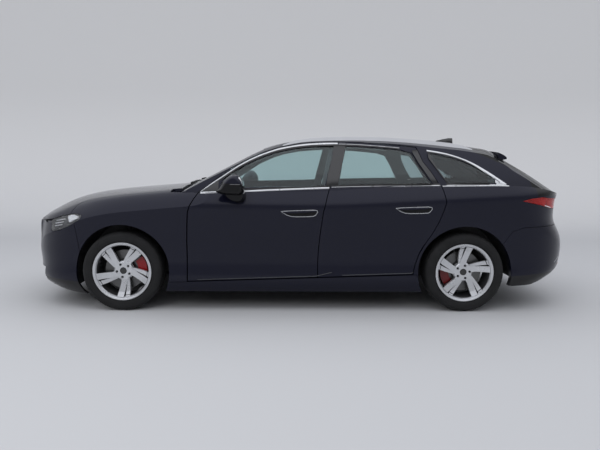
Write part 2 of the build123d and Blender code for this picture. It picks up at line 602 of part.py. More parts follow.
rear_bumper = biggest(rear_bumper - arch_rear - prism(BUMPER_UNDER + [(-2500, 340), (-2500, 0), (-1600, 0)], "y", -1000, 1000))
print("rear bumper", rear_bumper.bounding_box(), rear_bumper.is_valid)
gate_rest = block(-1757, -1700, 380, 420, 1296, SCREEN_HEAD - SEAT_GAP)
gate_rest = gate_rest + (block(-1728, -1700, 380, 420, 1296, 1450) & upper(GLASS_INSET + GLASS))
roof_panel = roof_panel + both(gate_rest)
print("roof", [round(x.volume / 1e6, 2) for x in roof_panel.solids()])


# ---------------------------------------------------------------- roof fittings
RAIL_TOP = curve((170, 1405), (110, 1428), (50, 1449), (-80, 1469), (-390, 1484), (-690, 1483),
                 (-870, 1473), (-1130, 1456), (-1310, 1437), (-1420, 1415), (-1500, 1385))
rail_xs = [160, 110, 50, -80, -230, -390, -690, -870, -1130, -1310, -1420, -1500]
rail_view = prism([(x, RAIL_TOP(x)) for x in rail_xs] + [(-1500, 1300), (160, 1300)], "y", 0, 1000)
roof_rail = biggest(((house_form(34) - house_form(60)) & rail_view) - upper(0))
FIN = [(1415, -1235, -1492, 24), (1478, -1335, -1490, 14), (1492, -1392, -1489, 9), (1503, -1450, -1488, 3)]


def fin_ring(z, front, back, half):
    """The aerial fin's section at one height: pointed in front, blunt behind."""
    mid = front + (back - front) * 0.6
    plan = [(front, 0), (mid, half), (back + 4, half), (back, half / 2)]
    plan = plan + [(x, -y) for x, y in reversed(plan[1:])]
    return Wire.make_polygon([Vector(x, y, z) for x, y in plan], close=True)


antenna = Solid.make_loft([fin_ring(*f) for f in FIN], ruled=True)
antenna = biggest(antenna - upper(0))
SPOILER = [(-1742, 1377), (-1800, 1372), (-1850, 1364), (-1892, 1351), (-1886, 1338), (-1830, 1325), (-1742, 1290)]
SPOILER_HALF = 586


def spoiler_ring(y):
    """The spoiler's section: it droops and comes forward towards its ends."""
    end = (abs(y) / SPOILER_HALF) ** 2.5
    return Wire.make_polygon([Vector(x + 72 * end * (-x - 1742) / 150, y, z - 20 * end * (1 + (-x - 1742) / 150))
                              for x, z in SPOILER], close=True)


spoiler = Solid.make_loft([spoiler_ring(SPOILER_HALF * k / 5) for k in range(-5, 6)], ruled=True)
spoiler = biggest(spoiler - upper(0))

# ---------------------------------------------------------------- mirrors
MIRROR_CENTRE = Vector(565, 0, 1070)
MIRROR_SIDE = [(690, 1024), (645, 1080), (590, 1142), (535, 1156), (487, 1120), (468, 1050), (480, 1002),
               (555, 990), (640, 996)]
MIRROR_SIZES = [(880, 0.34), (912, 0.78), (955, 1.0), (1005, 0.98), (1048, 0.66)]
FOOT_ROOT = [(645, 1010), (612, 952), (540, 908), (468, 908), (446, 950), (462, 1010), (550, 1040)]
FOOT_TIP = [(632, 1016), (602, 972), (545, 944), (492, 952), (478, 985), (492, 1020), (556, 1045)]


def mirror_ring(y, scale):
    """The housing's outline at one distance from the door, drawn about its middle."""
    c = MIRROR_CENTRE
    return Wire([Edge.make_spline([Vector(c.X + (x - c.X) * scale, y, c.Z + (z - c.Z) * scale)
                                   for x, z in MIRROR_SIDE], periodic=True)])


mirror_housing = Solid.make_loft([mirror_ring(*m) for m in MIRROR_SIZES])
mirror_foot = Solid.make_loft([Wire([Edge.make_spline([Vector(x, y, z) for x, z in outline], periodic=True)])
                               for y, outline in ((830, FOOT_ROOT), (995, FOOT_TIP))], ruled=True)
mirror_left = biggest((mirror_housing + mirror_foot) - front_door - front_glass - house_form(-1))
print("mirror", mirror_left.bounding_box())

# ---------------------------------------------------------------- floor and structure
REAR_FLOOR = 520
BENCH_RIB = (-1025, -930)
BENCH_RIB_TOP = REAR_FLOOR + 30
floor_pan = block(-930, 1012, -FLOOR_HALF, FLOOR_HALF, 180, 202)
floor_pan = floor_pan + block(-425, 1012, -130, 130, 190, 360) - block(-425, 1012, -108, 108, 100, 338)
floor_pan = floor_pan + block(-952, -930, -FLOOR_HALF, FLOOR_HALF, 180, REAR_FLOOR + 22)
floor_pan = floor_pan + block(-2240, -930, -520, 520, REAR_FLOOR, REAR_FLOOR + 22)
floor_pan = floor_pan + block(*BENCH_RIB, -520, 520, REAR_FLOOR, BENCH_RIB_TOP)
firewall = block(1012, 1030, -FLOOR_HALF, FLOOR_HALF, 180, 968)
cowl = (upper(GLASS_INSET + GLASS) & block(940, 1078, -690, 690, 968, 1100))
bonnet_rest = Pos(0, 0, -SEAT_GAP) * (block(1026, 1085, 560, 600, 900, 1100) & lower(SKIN))
firewall = biggest(firewall + cowl + both(bonnet_rest - block(1000, 1078, 500, 700, 968, 1100)))


def arch_liner(x, y_in, low_front, low_rear, depth):
    shell = drum(x, (LINER_OUT + y_in) / 2, TYRE_RADIUS, ARCH_RADIUS + LINER, LINER_OUT - y_in)
    hollow = drum(x, (LINER_OUT + y_in) / 2 + LINER, TYRE_RADIUS, ARCH_RADIUS, LINER_OUT - y_in)
    cut = block(x - 600, x, 0, 1000, -200, low_rear) + block(x, x + 600, 0, 1000, -200, low_front)
    shaft_way = block(x - 130, x + 130, 0, y_in + 2 * LINER, 0, TYRE_RADIUS + 100)
    return ((shell - hollow - cut) & hull_form(depth)) - shaft_way


RAIL_Y = (392, 462)
front_liner = arch_liner(FRONT_AXLE, RAIL_Y[1] + SEAT_GAP, 215, 260, 32)
rear_liner = arch_liner(REAR_AXLE, 548, 260, 300, QUARTER_DEPTH + 1)

rails = block(1030, 2230, RAIL_Y[0], RAIL_Y[1], 400, 500)
rails = both(rails)
front_structure = rails + block(2230, 2290, -510, 510, 400, 505) + block(2020, 2085, -RAIL_Y[0], RAIL_Y[0], 300, 440)
bonnet_stop = Pos(0, 0, -SEAT_GAP) * (block(2040, 2070, 352, 382, 440, 900) & lower(SKIN))
front_structure = front_structure + both(bonnet_stop + block(2020, 2085, 352, 392, 430, 470))
radiator = block(2085, 2130, -350, 350, 300, 700)
engine = block(1120, 1760, -230, 230, 300, 800)
engine = engine + both(block(1400, 1460, 225, RAIL_Y[0] - SEAT_GAP, 440, 480))

# steering axis: through the strut's top bearing and the lower ball joint
BALL_JOINT = Vector(FRONT_AXLE, 712, 205)
STRUT_TOP = Vector(FRONT_AXLE, 634, 715)
steer_dir = (STRUT_TOP - BALL_JOINT).normalized()


def along(start, direction, radius, low, high):
    plane = Plane(origin=start, z_dir=direction)
    return plane.location * Pos(0, 0, (low + high) / 2) * Cylinder(radius, high - low)


# ---------------------------------------------------------------- wheels
HUB_FACE = 22                          # hub face outboard of the wheel's middle
DISC_R, DISC_IN, DISC_OUT = 170, -34, -6


def make_tyre():
    w = TYRE_WIDTH / 2
    return turned([(-95, 228.5), (-95, 247), (-w + 4, 262), (-w, 285), (-w + 4, 312), (-w + 17, 328), (-w + 34, TYRE_RADIUS - 2),
                   (0, TYRE_RADIUS), (w - 34, TYRE_RADIUS - 2), (w - 17, 328), (w - 4, 312), (w, 285), (w - 4, 262), (95, 247), (95, 228.5)])


# One double spoke, seen from outside with its wide blade's tip straight up: a wide blade
# that passes beside the hub's centre, and a narrow one behind it that meets it at the hub.
WIDE_BLADE = [(29, 226), (17, 150), (9, 100), (11, 62), (26, 40), (-46, 40), (-44, 70), (-37, 112), (-25, 226)]
NARROW_BLADE = [(-40, 226), (-39, 112), (-30, 60), (-52, 52), (-62, 100), (-71, 150), (-80, 226)]
SPOKES = 5
LUG_CIRCLE, LUG_RADIUS, LUG_ANGLE = 56, 11.5, 85
DISH = [(28, 30), (60, 30), (61, 76), (70, 140), (80, 180), (97, 221), (70, 221), (52, 180), (40, 140), (26, 76)]


def make_wheel():
    """Alloy wheel with its brake disc, its middle at the origin and its outside at +Y."""
    barrel = turned([(-104, RIM_RADIUS), (-96, RIM_RADIUS), (-95.5, 228), (95.5, 228), (96, RIM_RADIUS),
                     (104, RIM_RADIUS), (105, 240), (99, 226), (88, 219), (60, 213), (-60, 204), (-98, 219),
                     (-104, 238)])
    dish = turned(DISH)
    low_dish = turned([(max(a - 8, 26) if r > 30 else a, r) for a, r in DISH])
    wheel = barrel
    for k in range(SPOKES):
        for outline, face in ((WIDE_BLADE, dish), (NARROW_BLADE, low_dish)):
            blade = prism([(-t, r) for t, r in outline], "y", 0, 120)
            wheel = wheel + (Rot(0, 360 / SPOKES * k, 0) * blade & face)
    wheel = wheel + turned([(HUB_FACE, 0), (60, 0), (62, 30), (60, 72), (54, 80), (HUB_FACE, 80)])
    wheel = wheel + turned([(DISC_IN, 96), (DISC_IN, DISC_R), (DISC_OUT, DISC_R), (DISC_OUT, 96),
                            (HUB_FACE, 82), (HUB_FACE, 60), (DISC_OUT - 12, 70)])
    lug = Pos(-LUG_CIRCLE * cos(radians(LUG_ANGLE)), 62, LUG_CIRCLE * sin(radians(LUG_ANGLE)))
    lug = lug * Rot(90, 0, 0) * Cylinder(LUG_RADIUS, 32)
    for k in range(SPOKES):
        wheel = wheel - Rot(0, 360 / SPOKES * k, 0) * lug
    return biggest(wheel - drum(0, 62, 0, 29, 12))


def hub_spindle(x):
    """The hub's spindle, up to the wheel's back face."""
    return drum(x, TRACK / 2 + (HUB_FACE - SEAT_GAP - 20) / 2, TYRE_RADIUS, 40, HUB_FACE - SEAT_GAP + 20)


def knuckle_body():
    """Hub carrier on its steering axis, with the brake caliper; wheel middle at TRACK / 2."""
    y = TRACK / 2
    c = Vector(FRONT_AXLE, y, TYRE_RADIUS)
    hub = drum(c.X, y - 62, c.Z, 52, 50) + drum(c.X, y - 27, c.Z, 44, 30) + hub_spindle(c.X)
    plate = block(c.X - 40, c.X + 40, y - 100, y - 60, 230, 470)
    boss = along(BALL_JOINT, steer_dir, 24, 0, 40)
    strut = along(Vector(c.X, 652, 430), STRUT_TOP - Vector(c.X, 652, 430), 24, 0, 270)
    clamp = block(c.X - 34, c.X + 34, 640, y - 60, 400, 470)
    top = along(BALL_JOINT, steer_dir, 30, (STRUT_TOP - BALL_JOINT).length - 30, (STRUT_TOP - BALL_JOINT).length)
    return hub + plate + boss + strut + clamp + top


def caliper(x, y, z, angle, outer):
    """A two-sided caliper over the brake disc at an angle round the axle."""
    ring = turned([(DISC_IN - 34, 92), (DISC_IN - 34, outer), (DISC_OUT + 22, outer), (DISC_OUT + 22, 118),
                   (DISC_OUT + 5, 118), (DISC_OUT + 5, DISC_R + 6), (DISC_IN - 5, DISC_R + 6), (DISC_IN - 5, 92)])
    a = radians(angle)
    half = 26
    wedge = prism([(0, 0), (400 * cos(a - radians(half)), 400 * sin(a - radians(half))), (440 * cos(a), 440 * sin(a)),
                   (400 * cos(a + radians(half)), 400 * sin(a + radians(half)))], "y", -200, 200)
    return Pos(x, y, z) * (ring & wedge)


front_caliper = caliper(FRONT_AXLE, TRACK / 2, TYRE_RADIUS, 168, 192)
knuckle = knuckle_body() + front_caliper
knuckle = knuckle + block(FRONT_AXLE - 150, FRONT_AXLE - 20, TRACK / 2 - 92, TRACK / 2 - 66, TYRE_RADIUS - 20, TYRE_RADIUS + 50)
print("knuckle", [round(x.volume / 1e6, 3) for x in knuckle.solids()])
knuckle = biggest(knuckle)
arm_plan = [(FRONT_AXLE - 80, 380), (FRONT_AXLE + 80, 380), (FRONT_AXLE + 24, 712), (FRONT_AXLE - 24, 712)]
arm = prism(arm_plan, "z", 178, 196) + along(BALL_JOINT, steer_dir, 24, -26, -0.5)
front_subframe = both(arm) + block(FRONT_AXLE - 90, FRONT_AXLE + 90, -392, 392, 170, 235)
front_subframe = front_subframe + both(block(FRONT_AXLE - 60, FRONT_AXLE + 60, RAIL_Y[0], RAIL_Y[1], 170, 400))
bearing = along(STRUT_TOP, steer_dir, 30, 0.5, 60) & drum(FRONT_AXLE, 634, TYRE_RADIUS, ARCH_RADIUS + 4, 200)
front_liner = front_liner + bearing
rear_y = TRACK / 2
rear_carrier = (drum(REAR_AXLE, rear_y - 62, TYRE_RADIUS, 52, 50) + drum(REAR_AXLE, rear_y - 27, TYRE_RADIUS, 44, 30)
                + hub_spindle(REAR_AXLE)
                + block(REAR_AXLE - 45, REAR_AXLE + 45, rear_y - 100, rear_y - 60, 220, 420)
                + block(REAR_AXLE - 30, REAR_AXLE + 30, 380, rear_y - 80, 226, 256)
                + block(REAR_AXLE - 60, REAR_AXLE - 30, 380, rear_y - 80, 380, 405)
                + caliper(REAR_AXLE, rear_y, TYRE_RADIUS, -12, 188)
                + block(REAR_AXLE + 20, REAR_AXLE + 150, rear_y - 92, rear_y - 66, TYRE_RADIUS - 50, TYRE_RADIUS + 10))
rear_axle = both(rear_carrier) + block(REAR_AXLE - 110, REAR_AXLE + 110, -400, 400, 220, 410)
rear_axle = rear_axle + both(block(REAR_AXLE - 60, REAR_AXLE + 60, 300, 380, 410, REAR_FLOOR))
print("rear axle", [round(x.volume / 1e6, 3) for x in rear_axle.solids()])

PARKED_TURN = {True: 31, False: -10}    # front and rear wheels, degrees
wheel, tyre = make_wheel(), make_tyre()


def place_wheel(shape, x, side):
    """The same part on both sides, turned half round, as it stands when parked."""
    shape = Rot(0, PARKED_TURN[x > 0], 0) * shape
    shape = shape if side > 0 else Rot(0, 0, 180) * shape
    return Pos(x, side * TRACK / 2, TYRE_RADIUS) * shape


# ---------------------------------------------------------------- cabin
def seat(x, y, width, back_lean=22):
    cushion = prism([(x - 60, 300), (x - 60, 395), (x + 200, 420), (x + 440, 440), (x + 500, 400), (x + 480, 300)],
                    "y", y - width / 2, y + width / 2)
    back = prism([(x - 60, 380), (x + 60, 400), (x - 170, 960), (x - 235, 975), (x - 290, 950)], "y", y - width / 2 + 10, y + width / 2 - 10)
    return cushion, back


cushion, back = seat(-60, 370, 464)
base = block(-60, 380, 190, 550, 202, 300)
head = block(-345, -250, 260, 480, 985, 1130)
posts = block(-296, -284, 320, 332, 940, 990) + block(-296, -284, 408, 420, 940, 990)
front_seat = biggest(cushion + back + base + posts + head)
bench = block(-900, -430, -620, 620, 330, 470) + block(-900, -500, -560, 560, 202, 330)
bench = bench + prism([(-925, 470), (-800, 470), (-960, 960), (-1050, 960), (-1080, 930),
                       (-980, BENCH_RIB_TOP + SEAT_GAP), (-925, BENCH_RIB_TOP + SEAT_GAP)], "y", -500, 500)
bench = biggest(bench)
dashboard = prism([(1012, 560), (1012, 968), (936, 972), (760, 968), (660, 925), (640, 860), (690, 760), (860, 560)], "y", -690, 690)
dashboard = dashboard + block(300, 760, -105, 105, 362, 640)
dashboard = biggest(dashboard - firewall)
WHEEL_AT = Vector(470, 370, 830)
column_dir = Vector(cos(radians(24)), 0, -sin(radians(24)))
wheel_plane = Plane(origin=WHEEL_AT, z_dir=column_dir)
steering = wheel_plane.location * (Torus(180, 15) + Cylinder(62, 44) + Box(350, 34, 14) + Pos(0, 90, 0) * Box(30, 170, 14))
steering = steering + along(WHEEL_AT, column_dir, 28, 0, 330)
steering = biggest(steering - dashboard)

grille_frame = block(2200, 2500, -GRILLE_HALF, GRILLE_HALF, GRILLE_LOW + SEAT_GAP, GRILLE_HIGH)
grille_body = (lower(10) - hull_form(34)) & grille_frame
print("grille", grille_body.bounding_box())
GRILLE_ROWS, GRILLE_COLUMNS, GRILLE_BAR = 7, 12, 7
row_pitch = (GRILLE_HIGH - GRILLE_LOW - 36) / GRILLE_ROWS
column_pitch = (2 * GRILLE_HALF - 40) / GRILLE_COLUMNS
grille_holes = []
for row in range(GRILLE_ROWS):
    for column in range(GRILLE_COLUMNS - row % 2):
        y = -GRILLE_HALF + 20 + column_pitch * (column + 0.5 + 0.5 * (row % 2))
        z = GRILLE_LOW + 18 + row_pitch * (row + 0.5)
        w, h = (column_pitch - GRILLE_BAR) / 2, (row_pitch - GRILLE_BAR) / 2
        grille_holes.append(prism([(y - w, z), (y - w * 0.6, z + h), (y + w * 0.6, z + h), (y + w, z),
                                   (y + w * 0.6, z - h), (y - w * 0.6, z - h)], "x", 2200, 2500))
grille = biggest(grille_body - grille_holes)

parts = {}
parts["roof_panel"] = roof_panel
parts["windscreen"] = windscreen
parts["bonnet"] = bonnet
parts["headlamps"] = both(lamp)
parts["front_bumper"] = front_bumper
parts["grille"] = grille
parts["quarter_windows"] = both(quarter_glass)
parts["tail_lamps"] = both(tail_lamp)
parts["tailgate"] = tailgate
parts["tailgate_window"] = tailgate_glass
parts["spoiler"] = spoiler
parts["rear_bumper"] = rear_bumper
parts["roof_rails"] = both(roof_rail)
parts["antenna"] = antenna
parts["floor_pan"] = floor_pan
parts["firewall"] = firewall
parts["front_wheel_housings"] = both(front_liner)
parts["rear_wheel_housings"] = both(rear_liner)
parts["front_structure"] = front_structure
parts["radiator"] = radiator
parts["engine_block"] = engine
parts["front_subframe"] = front_subframe
parts["rear_axle"] = rear_axle
parts["front_seats"] = both(front_seat)
parts["rear_bench"] = bench
parts["dashboard"] = dashboard
parts["steering_wheel"] = steering
handed = {"side_frame": side_frame, "front_door": front_door, "rear_door": rear_door, "front_window": front_glass,
          "rear_window": rear_glass, "front_fender": fender, "quarter_panel": quarter, "mirror": mirror_left,
          "front_knuckle": knuckle}
for name, shape in handed.items():
    parts[name + "_left"] = shape
    parts[name + "_right"] = right(shape)
for end, x in (("front", FRONT_AXLE), ("rear", REAR_AXLE)):
    for hand, side in (("left", 1), ("right", -1)):
        parts[f"{end}_wheel_{hand}"] = place_wheel(wheel, x, side)
        parts[f"{end}_tyre_{hand}"] = place_wheel(tyre, x, side)

os.makedirs("parts", exist_ok=True)
for name, shape in parts.items():
    export_step(Compound(shape.solids()), f"parts/{name}.step")
    if len(shape.solids()) != 1 or not shape.is_valid:
        print(name, len(shape.solids()), shape.is_valid, round(shape.volume / 1e6, 2))
print(len(parts), "parts")
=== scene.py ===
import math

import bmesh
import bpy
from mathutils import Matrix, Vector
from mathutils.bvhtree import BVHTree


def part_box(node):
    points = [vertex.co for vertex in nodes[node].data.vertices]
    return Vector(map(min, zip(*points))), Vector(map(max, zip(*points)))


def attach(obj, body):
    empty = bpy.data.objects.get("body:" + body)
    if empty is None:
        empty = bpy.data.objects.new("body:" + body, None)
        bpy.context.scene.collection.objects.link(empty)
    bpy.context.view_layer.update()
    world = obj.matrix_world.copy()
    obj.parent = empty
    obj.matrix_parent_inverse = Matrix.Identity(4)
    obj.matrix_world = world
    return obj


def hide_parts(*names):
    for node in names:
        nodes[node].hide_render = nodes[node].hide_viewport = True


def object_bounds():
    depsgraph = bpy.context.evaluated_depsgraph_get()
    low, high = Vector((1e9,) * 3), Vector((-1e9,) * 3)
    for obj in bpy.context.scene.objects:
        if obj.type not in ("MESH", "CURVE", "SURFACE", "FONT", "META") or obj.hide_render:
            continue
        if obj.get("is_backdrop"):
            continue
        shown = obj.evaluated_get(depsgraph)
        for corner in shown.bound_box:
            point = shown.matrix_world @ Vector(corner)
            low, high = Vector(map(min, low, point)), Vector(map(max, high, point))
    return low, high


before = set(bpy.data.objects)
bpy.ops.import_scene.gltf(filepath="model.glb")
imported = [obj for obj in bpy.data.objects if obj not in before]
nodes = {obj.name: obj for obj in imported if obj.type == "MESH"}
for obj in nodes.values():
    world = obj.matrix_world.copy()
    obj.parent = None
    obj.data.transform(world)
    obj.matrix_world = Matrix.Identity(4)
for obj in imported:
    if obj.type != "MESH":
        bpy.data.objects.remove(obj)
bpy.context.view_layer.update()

# %% [markdown]
# # A station wagon, dressed in Blender
# The engineering model arrives as fixed nodes, one for each real part: doors, panels, panes,
# wheels.  Their shapes stay as they are.  This lesson gives every one of them its finish and
# adds what is too fine for the engineering model: trim, lamps, tread, seats and small fittings.
# Everything is in metres.  +X points to the nose, +Y to the car's left and +Z up.

scene = bpy.context.scene
scene.view_settings.view_transform = "Standard"
SIDES = (("left", 1), ("right", -1))

# %% [markdown]
# ## Camera
# A tripod shot from the left of the car: about 5.7 m from the centre line and 1.27 m
# above the floor, aimed slightly down.  The three small angles turn into one rotation, built
# from the direction of view so that nothing has to be aimed by eye.

# %% Camera
CAMERA_AT = Vector((0.0714, 5.70, 1.2705))
YAW, PITCH, ROLL = -0.0131, 0.1103, -0.0067
FOCAL_RATIO = 577.75 / 600          # focal length over the width of the frame


def camera_axes(yaw, pitch, roll):
    """Right, up and back directions of a camera that looks along -Y at zero angles."""
    ahead = Vector((math.sin(yaw), -math.cos(yaw), 0))
    right = Vector((-math.cos(yaw), -math.sin(yaw), 0))
    up = Vector((0, 0, 1))
    look = ahead * math.cos(pitch) - up * math.sin(pitch)
    raised = up * math.cos(pitch) + ahead * math.sin(pitch)
    side = right * math.cos(roll) - raised * math.sin(roll)
    top = right * math.sin(roll) + raised * math.cos(roll)
    return side, top, -look


camera = bpy.data.objects.new("camera", bpy.data.cameras.new("camera"))
scene.collection.objects.link(camera)
axes = Matrix(camera_axes(YAW, PITCH, ROLL)).transposed()
camera.matrix_world = Matrix.Translation(CAMERA_AT) @ axes.to_4x4()
camera.data.lens = camera.data.sensor_width * FOCAL_RATIO
scene.camera = camera
print("lens", round(camera.data.lens, 2), "mm")

# %% [markdown]
# ## Floor, backdrop and light
# A pale sweep: a flat floor that curves up into a wall behind the car.  One large soft lamp
# hangs overhead, as in a car studio, a smaller one stands off the nose, and the world fills
# the rest.  The world looks
# paler to the camera than to the car, which keeps the light on the paint at a plain level.

# %% Small helpers for meshes


def add_mesh(name, verts, faces, material=None, smooth=False):
    """A new mesh object from plain lists."""
    mesh = bpy.data.meshes.new(name)
    mesh.from_pydata([tuple(v) for v in verts], [], faces)
    mesh.validate()
    obj = bpy.data.objects.new(name, mesh)
    scene.collection.objects.link(obj)
    if material:
        mesh.materials.append(material)
    if smooth:
        mesh.polygons.foreach_set("use_smooth", [True] * len(mesh.polygons))
    mesh.update()
    return obj


def turn_right(obj):
    """Turn every face outward."""
    bm = bmesh.new()
    bm.from_mesh(obj.data)
    bmesh.ops.recalc_face_normals(bm, faces=bm.faces)
    bm.to_mesh(obj.data)
    bm.free()
    return obj


def ring_faces(rings, wide, closed=False):
    """Faces from each ring of places to the next, with one across each end unless it closes."""
    faces = []
    for r in range(rings if closed else rings - 1):
        a, b = r * wide, (r + 1) % rings * wide
        for c in range(wide):
            n = (c + 1) % wide
            faces.append((a + c, a + n, b + n, b + c))
    if not closed:
        faces += [tuple(range(wide)), tuple((rings - 1) * wide + c for c in reversed(range(wide)))]
    return faces


def material(name):
    """A new node material and its Principled shader."""
    made = bpy.data.materials.new(name)
    made.use_nodes = True
    return made, made.node_tree.nodes["Principled BSDF"]


# %% Small helpers for nodes


def math_node(tree, operation, a, b=None, clamp=False):
    """A Math node whose inputs are sockets or numbers."""
    node = tree.nodes.new("ShaderNodeMath")
    node.operation, node.use_clamp = operation, clamp
    for slot_at, value in enumerate((a, b)):
        if value is None:
            continue
        if hasattr(value, "is_output"):
            tree.links.new(value, node.inputs[slot_at])
        else:
            node.inputs[slot_at].default_value = value
    return node.outputs[0]


def seen_rays(tree):
    """1 for rays of the camera, reflections and glass, and 0 for the light on objects."""
    rays = tree.nodes.new("ShaderNodeLightPath").outputs
    direct = math_node(tree, "MAXIMUM", rays["Is Camera Ray"], rays["Is Glossy Ray"])
    return math_node(tree, "MAXIMUM", direct, rays["Is Transmission Ray"])


# %% Floor and wall
FLOOR_GREY = (0.50, 0.505, 0.515, 1)
SWEEP_START, SWEEP_RADIUS, SWEEP_TOP, SWEEP_HALF, FLOOR_NEAR = -6.0, 3.0, 9.0, 60.0, 60.0
sweep = [(FLOOR_NEAR, 0.0), (SWEEP_START, 0.0)]
for step in range(1, 13):
    turn = math.pi / 2 * step / 12
    sweep.append((SWEEP_START - SWEEP_RADIUS * math.sin(turn), SWEEP_RADIUS * (1 - math.cos(turn))))
sweep.append((SWEEP_START - SWEEP_RADIUS, SWEEP_TOP))
floor_verts = [(x, y, z) for y, z in sweep for x in (-SWEEP_HALF, SWEEP_HALF)]
floor_faces = [(2 * i, 2 * i + 1, 2 * i + 3, 2 * i + 2) for i in range(len(sweep) - 1)]
floor = add_mesh("floor", floor_verts, floor_faces, smooth=True)
floor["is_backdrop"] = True
print("floor", len(floor_faces), "strips")

# %% Lamps and world
HORIZON_LIGHT, OVERHEAD_LIGHT, BACKDROP_LIGHT = 0.16, 1.20, 0.40


def area_lamp(name, place, aim, size, power):
    """A soft rectangular lamp that points at a place."""
    data = bpy.data.lights.new(name, "AREA")
    data.shape, data.size, data.size_y, data.energy = "RECTANGLE", size[0], size[1], power
    lamp = bpy.data.objects.new(name, data)
    lamp.location = place
    lamp.rotation_euler = (Vector(aim) - Vector(place)).to_track_quat("-Z", "Y").to_euler()
    scene.collection.objects.link(lamp)
    return lamp


ceiling_lamp = area_lamp("ceiling_lamp", (0, 1.5, 5.2), (0, 1.5, 0), (8.0, 6.0), 70)
ceiling_lamp.visible_glossy = False
front_lamp = area_lamp("front_lamp", (4.2, 6.5, 3.4), (0.8, 0, 0.6), (3.0, 2.0), 80)
front_lamp.visible_glossy = False          # it fills shadows and leaves no patch on the paint
world = bpy.data.worlds.new("studio_world")
world.use_nodes = True
world_tree = world.node_tree
world_tree.nodes["Background"].inputs["Color"].default_value = (0.92, 0.94, 1.0, 1)
world_place = world_tree.nodes.new("ShaderNodeTexCoord")
world_split = world_tree.nodes.new("ShaderNodeSeparateXYZ")
world_tree.links.new(world_place.outputs["Generated"], world_split.inputs[0])
overhead = world_tree.nodes.new("ShaderNodeMapRange")
overhead.interpolation_type = "SMOOTHSTEP"
for label, value in (("From Min", 0.14), ("From Max", 0.72),
                     ("To Min", HORIZON_LIGHT), ("To Max", OVERHEAD_LIGHT)):
    overhead.inputs[label].default_value = value
world_tree.links.new(world_split.outputs["Z"], overhead.inputs["Value"])
backdrop = math_node(world_tree, "MULTIPLY", seen_rays(world_tree), BACKDROP_LIGHT)
brighter = math_node(world_tree, "MAXIMUM", backdrop, overhead.outputs["Result"])
world_tree.links.new(brighter, world_tree.nodes["Background"].inputs["Strength"])
scene.world = world
print("lamps and world set")

# %% [markdown]
# ## The backdrop's own brightness
# The wall is far behind the car, where little lamp light reaches it, yet in a studio it reads
# as pale as the floor.  Its material glows only for the camera, for reflections and for what is
# seen through glass, so the wall looks pale and adds no light to the car.

# %% Floor material
WALL_GLOW = 0.22
floor_material, floor_shader = material("studio_floor")
floor.data.materials.append(floor_material)
floor_shader.inputs["Base Color"].default_value = FLOOR_GREY
floor_shader.inputs["Roughness"].default_value = 0.75
floor_tree = floor_material.node_tree
floor_place = floor_tree.nodes.new("ShaderNodeTexCoord")
height = floor_tree.nodes.new("ShaderNodeSeparateXYZ")
floor_tree.links.new(floor_place.outputs["Object"], height.inputs[0])
rise = floor_tree.nodes.new("ShaderNodeMapRange")
rise.inputs["From Min"].default_value, rise.inputs["From Max"].default_value = -3.6, -9.0
rise.inputs["To Min"].default_value, rise.inputs["To Max"].default_value = 0.0, WALL_GLOW
floor_tree.links.new(height.outputs["Y"], rise.inputs["Value"])
glow = math_node(floor_tree, "MULTIPLY", rise.outputs["Result"], seen_rays(floor_tree))
floor_shader.inputs["Emission Color"].default_value = (1, 1, 1.02, 1)
floor_tree.links.new(glow, floor_shader.inputs["Emission Strength"])
print("wall glow", WALL_GLOW)

# %% [markdown]
# ## Shader groups
# Several finishes share the same small effects, so each effect is a node group that is built
# once.  A group puts out only colours, masks and normals: the shader itself stays in each
# material, where its own numbers can be read.

# %% Group builder and the fine grain group


def new_group(name, inputs, outputs):
    """An empty node group with named sockets, and its two end nodes."""
    group = bpy.data.node_groups.new(name, "ShaderNodeTree")
    for label, kind, value in inputs:
        socket = group.interface.new_socket(label, in_out="INPUT", socket_type=kind)
        socket.default_value = value
    for label, kind in outputs:
        group.interface.new_socket(label, in_out="OUTPUT", socket_type=kind)
    return group, group.nodes.new("NodeGroupInput"), group.nodes.new("NodeGroupOutput")


def mix_colour(tree, factor, a, b):
    """Blend two colours, each a socket or an RGBA value, by a factor socket."""
    node = tree.nodes.new("ShaderNodeMix")
    node.data_type = "RGBA"
    tree.links.new(factor, node.inputs["Factor"])
    for label, value in (("A", a), ("B", b)):
        target = [s for s in node.inputs if s.name == label and s.type == "RGBA"][0]
        if hasattr(value, "is_output"):
            tree.links.new(value, target)
        else:
            target.default_value = value
    return [s for s in node.outputs if s.type == "RGBA"][0]


FLOAT, COLOUR, VECTOR = "NodeSocketFloat", "NodeSocketColor", "NodeSocketVector"


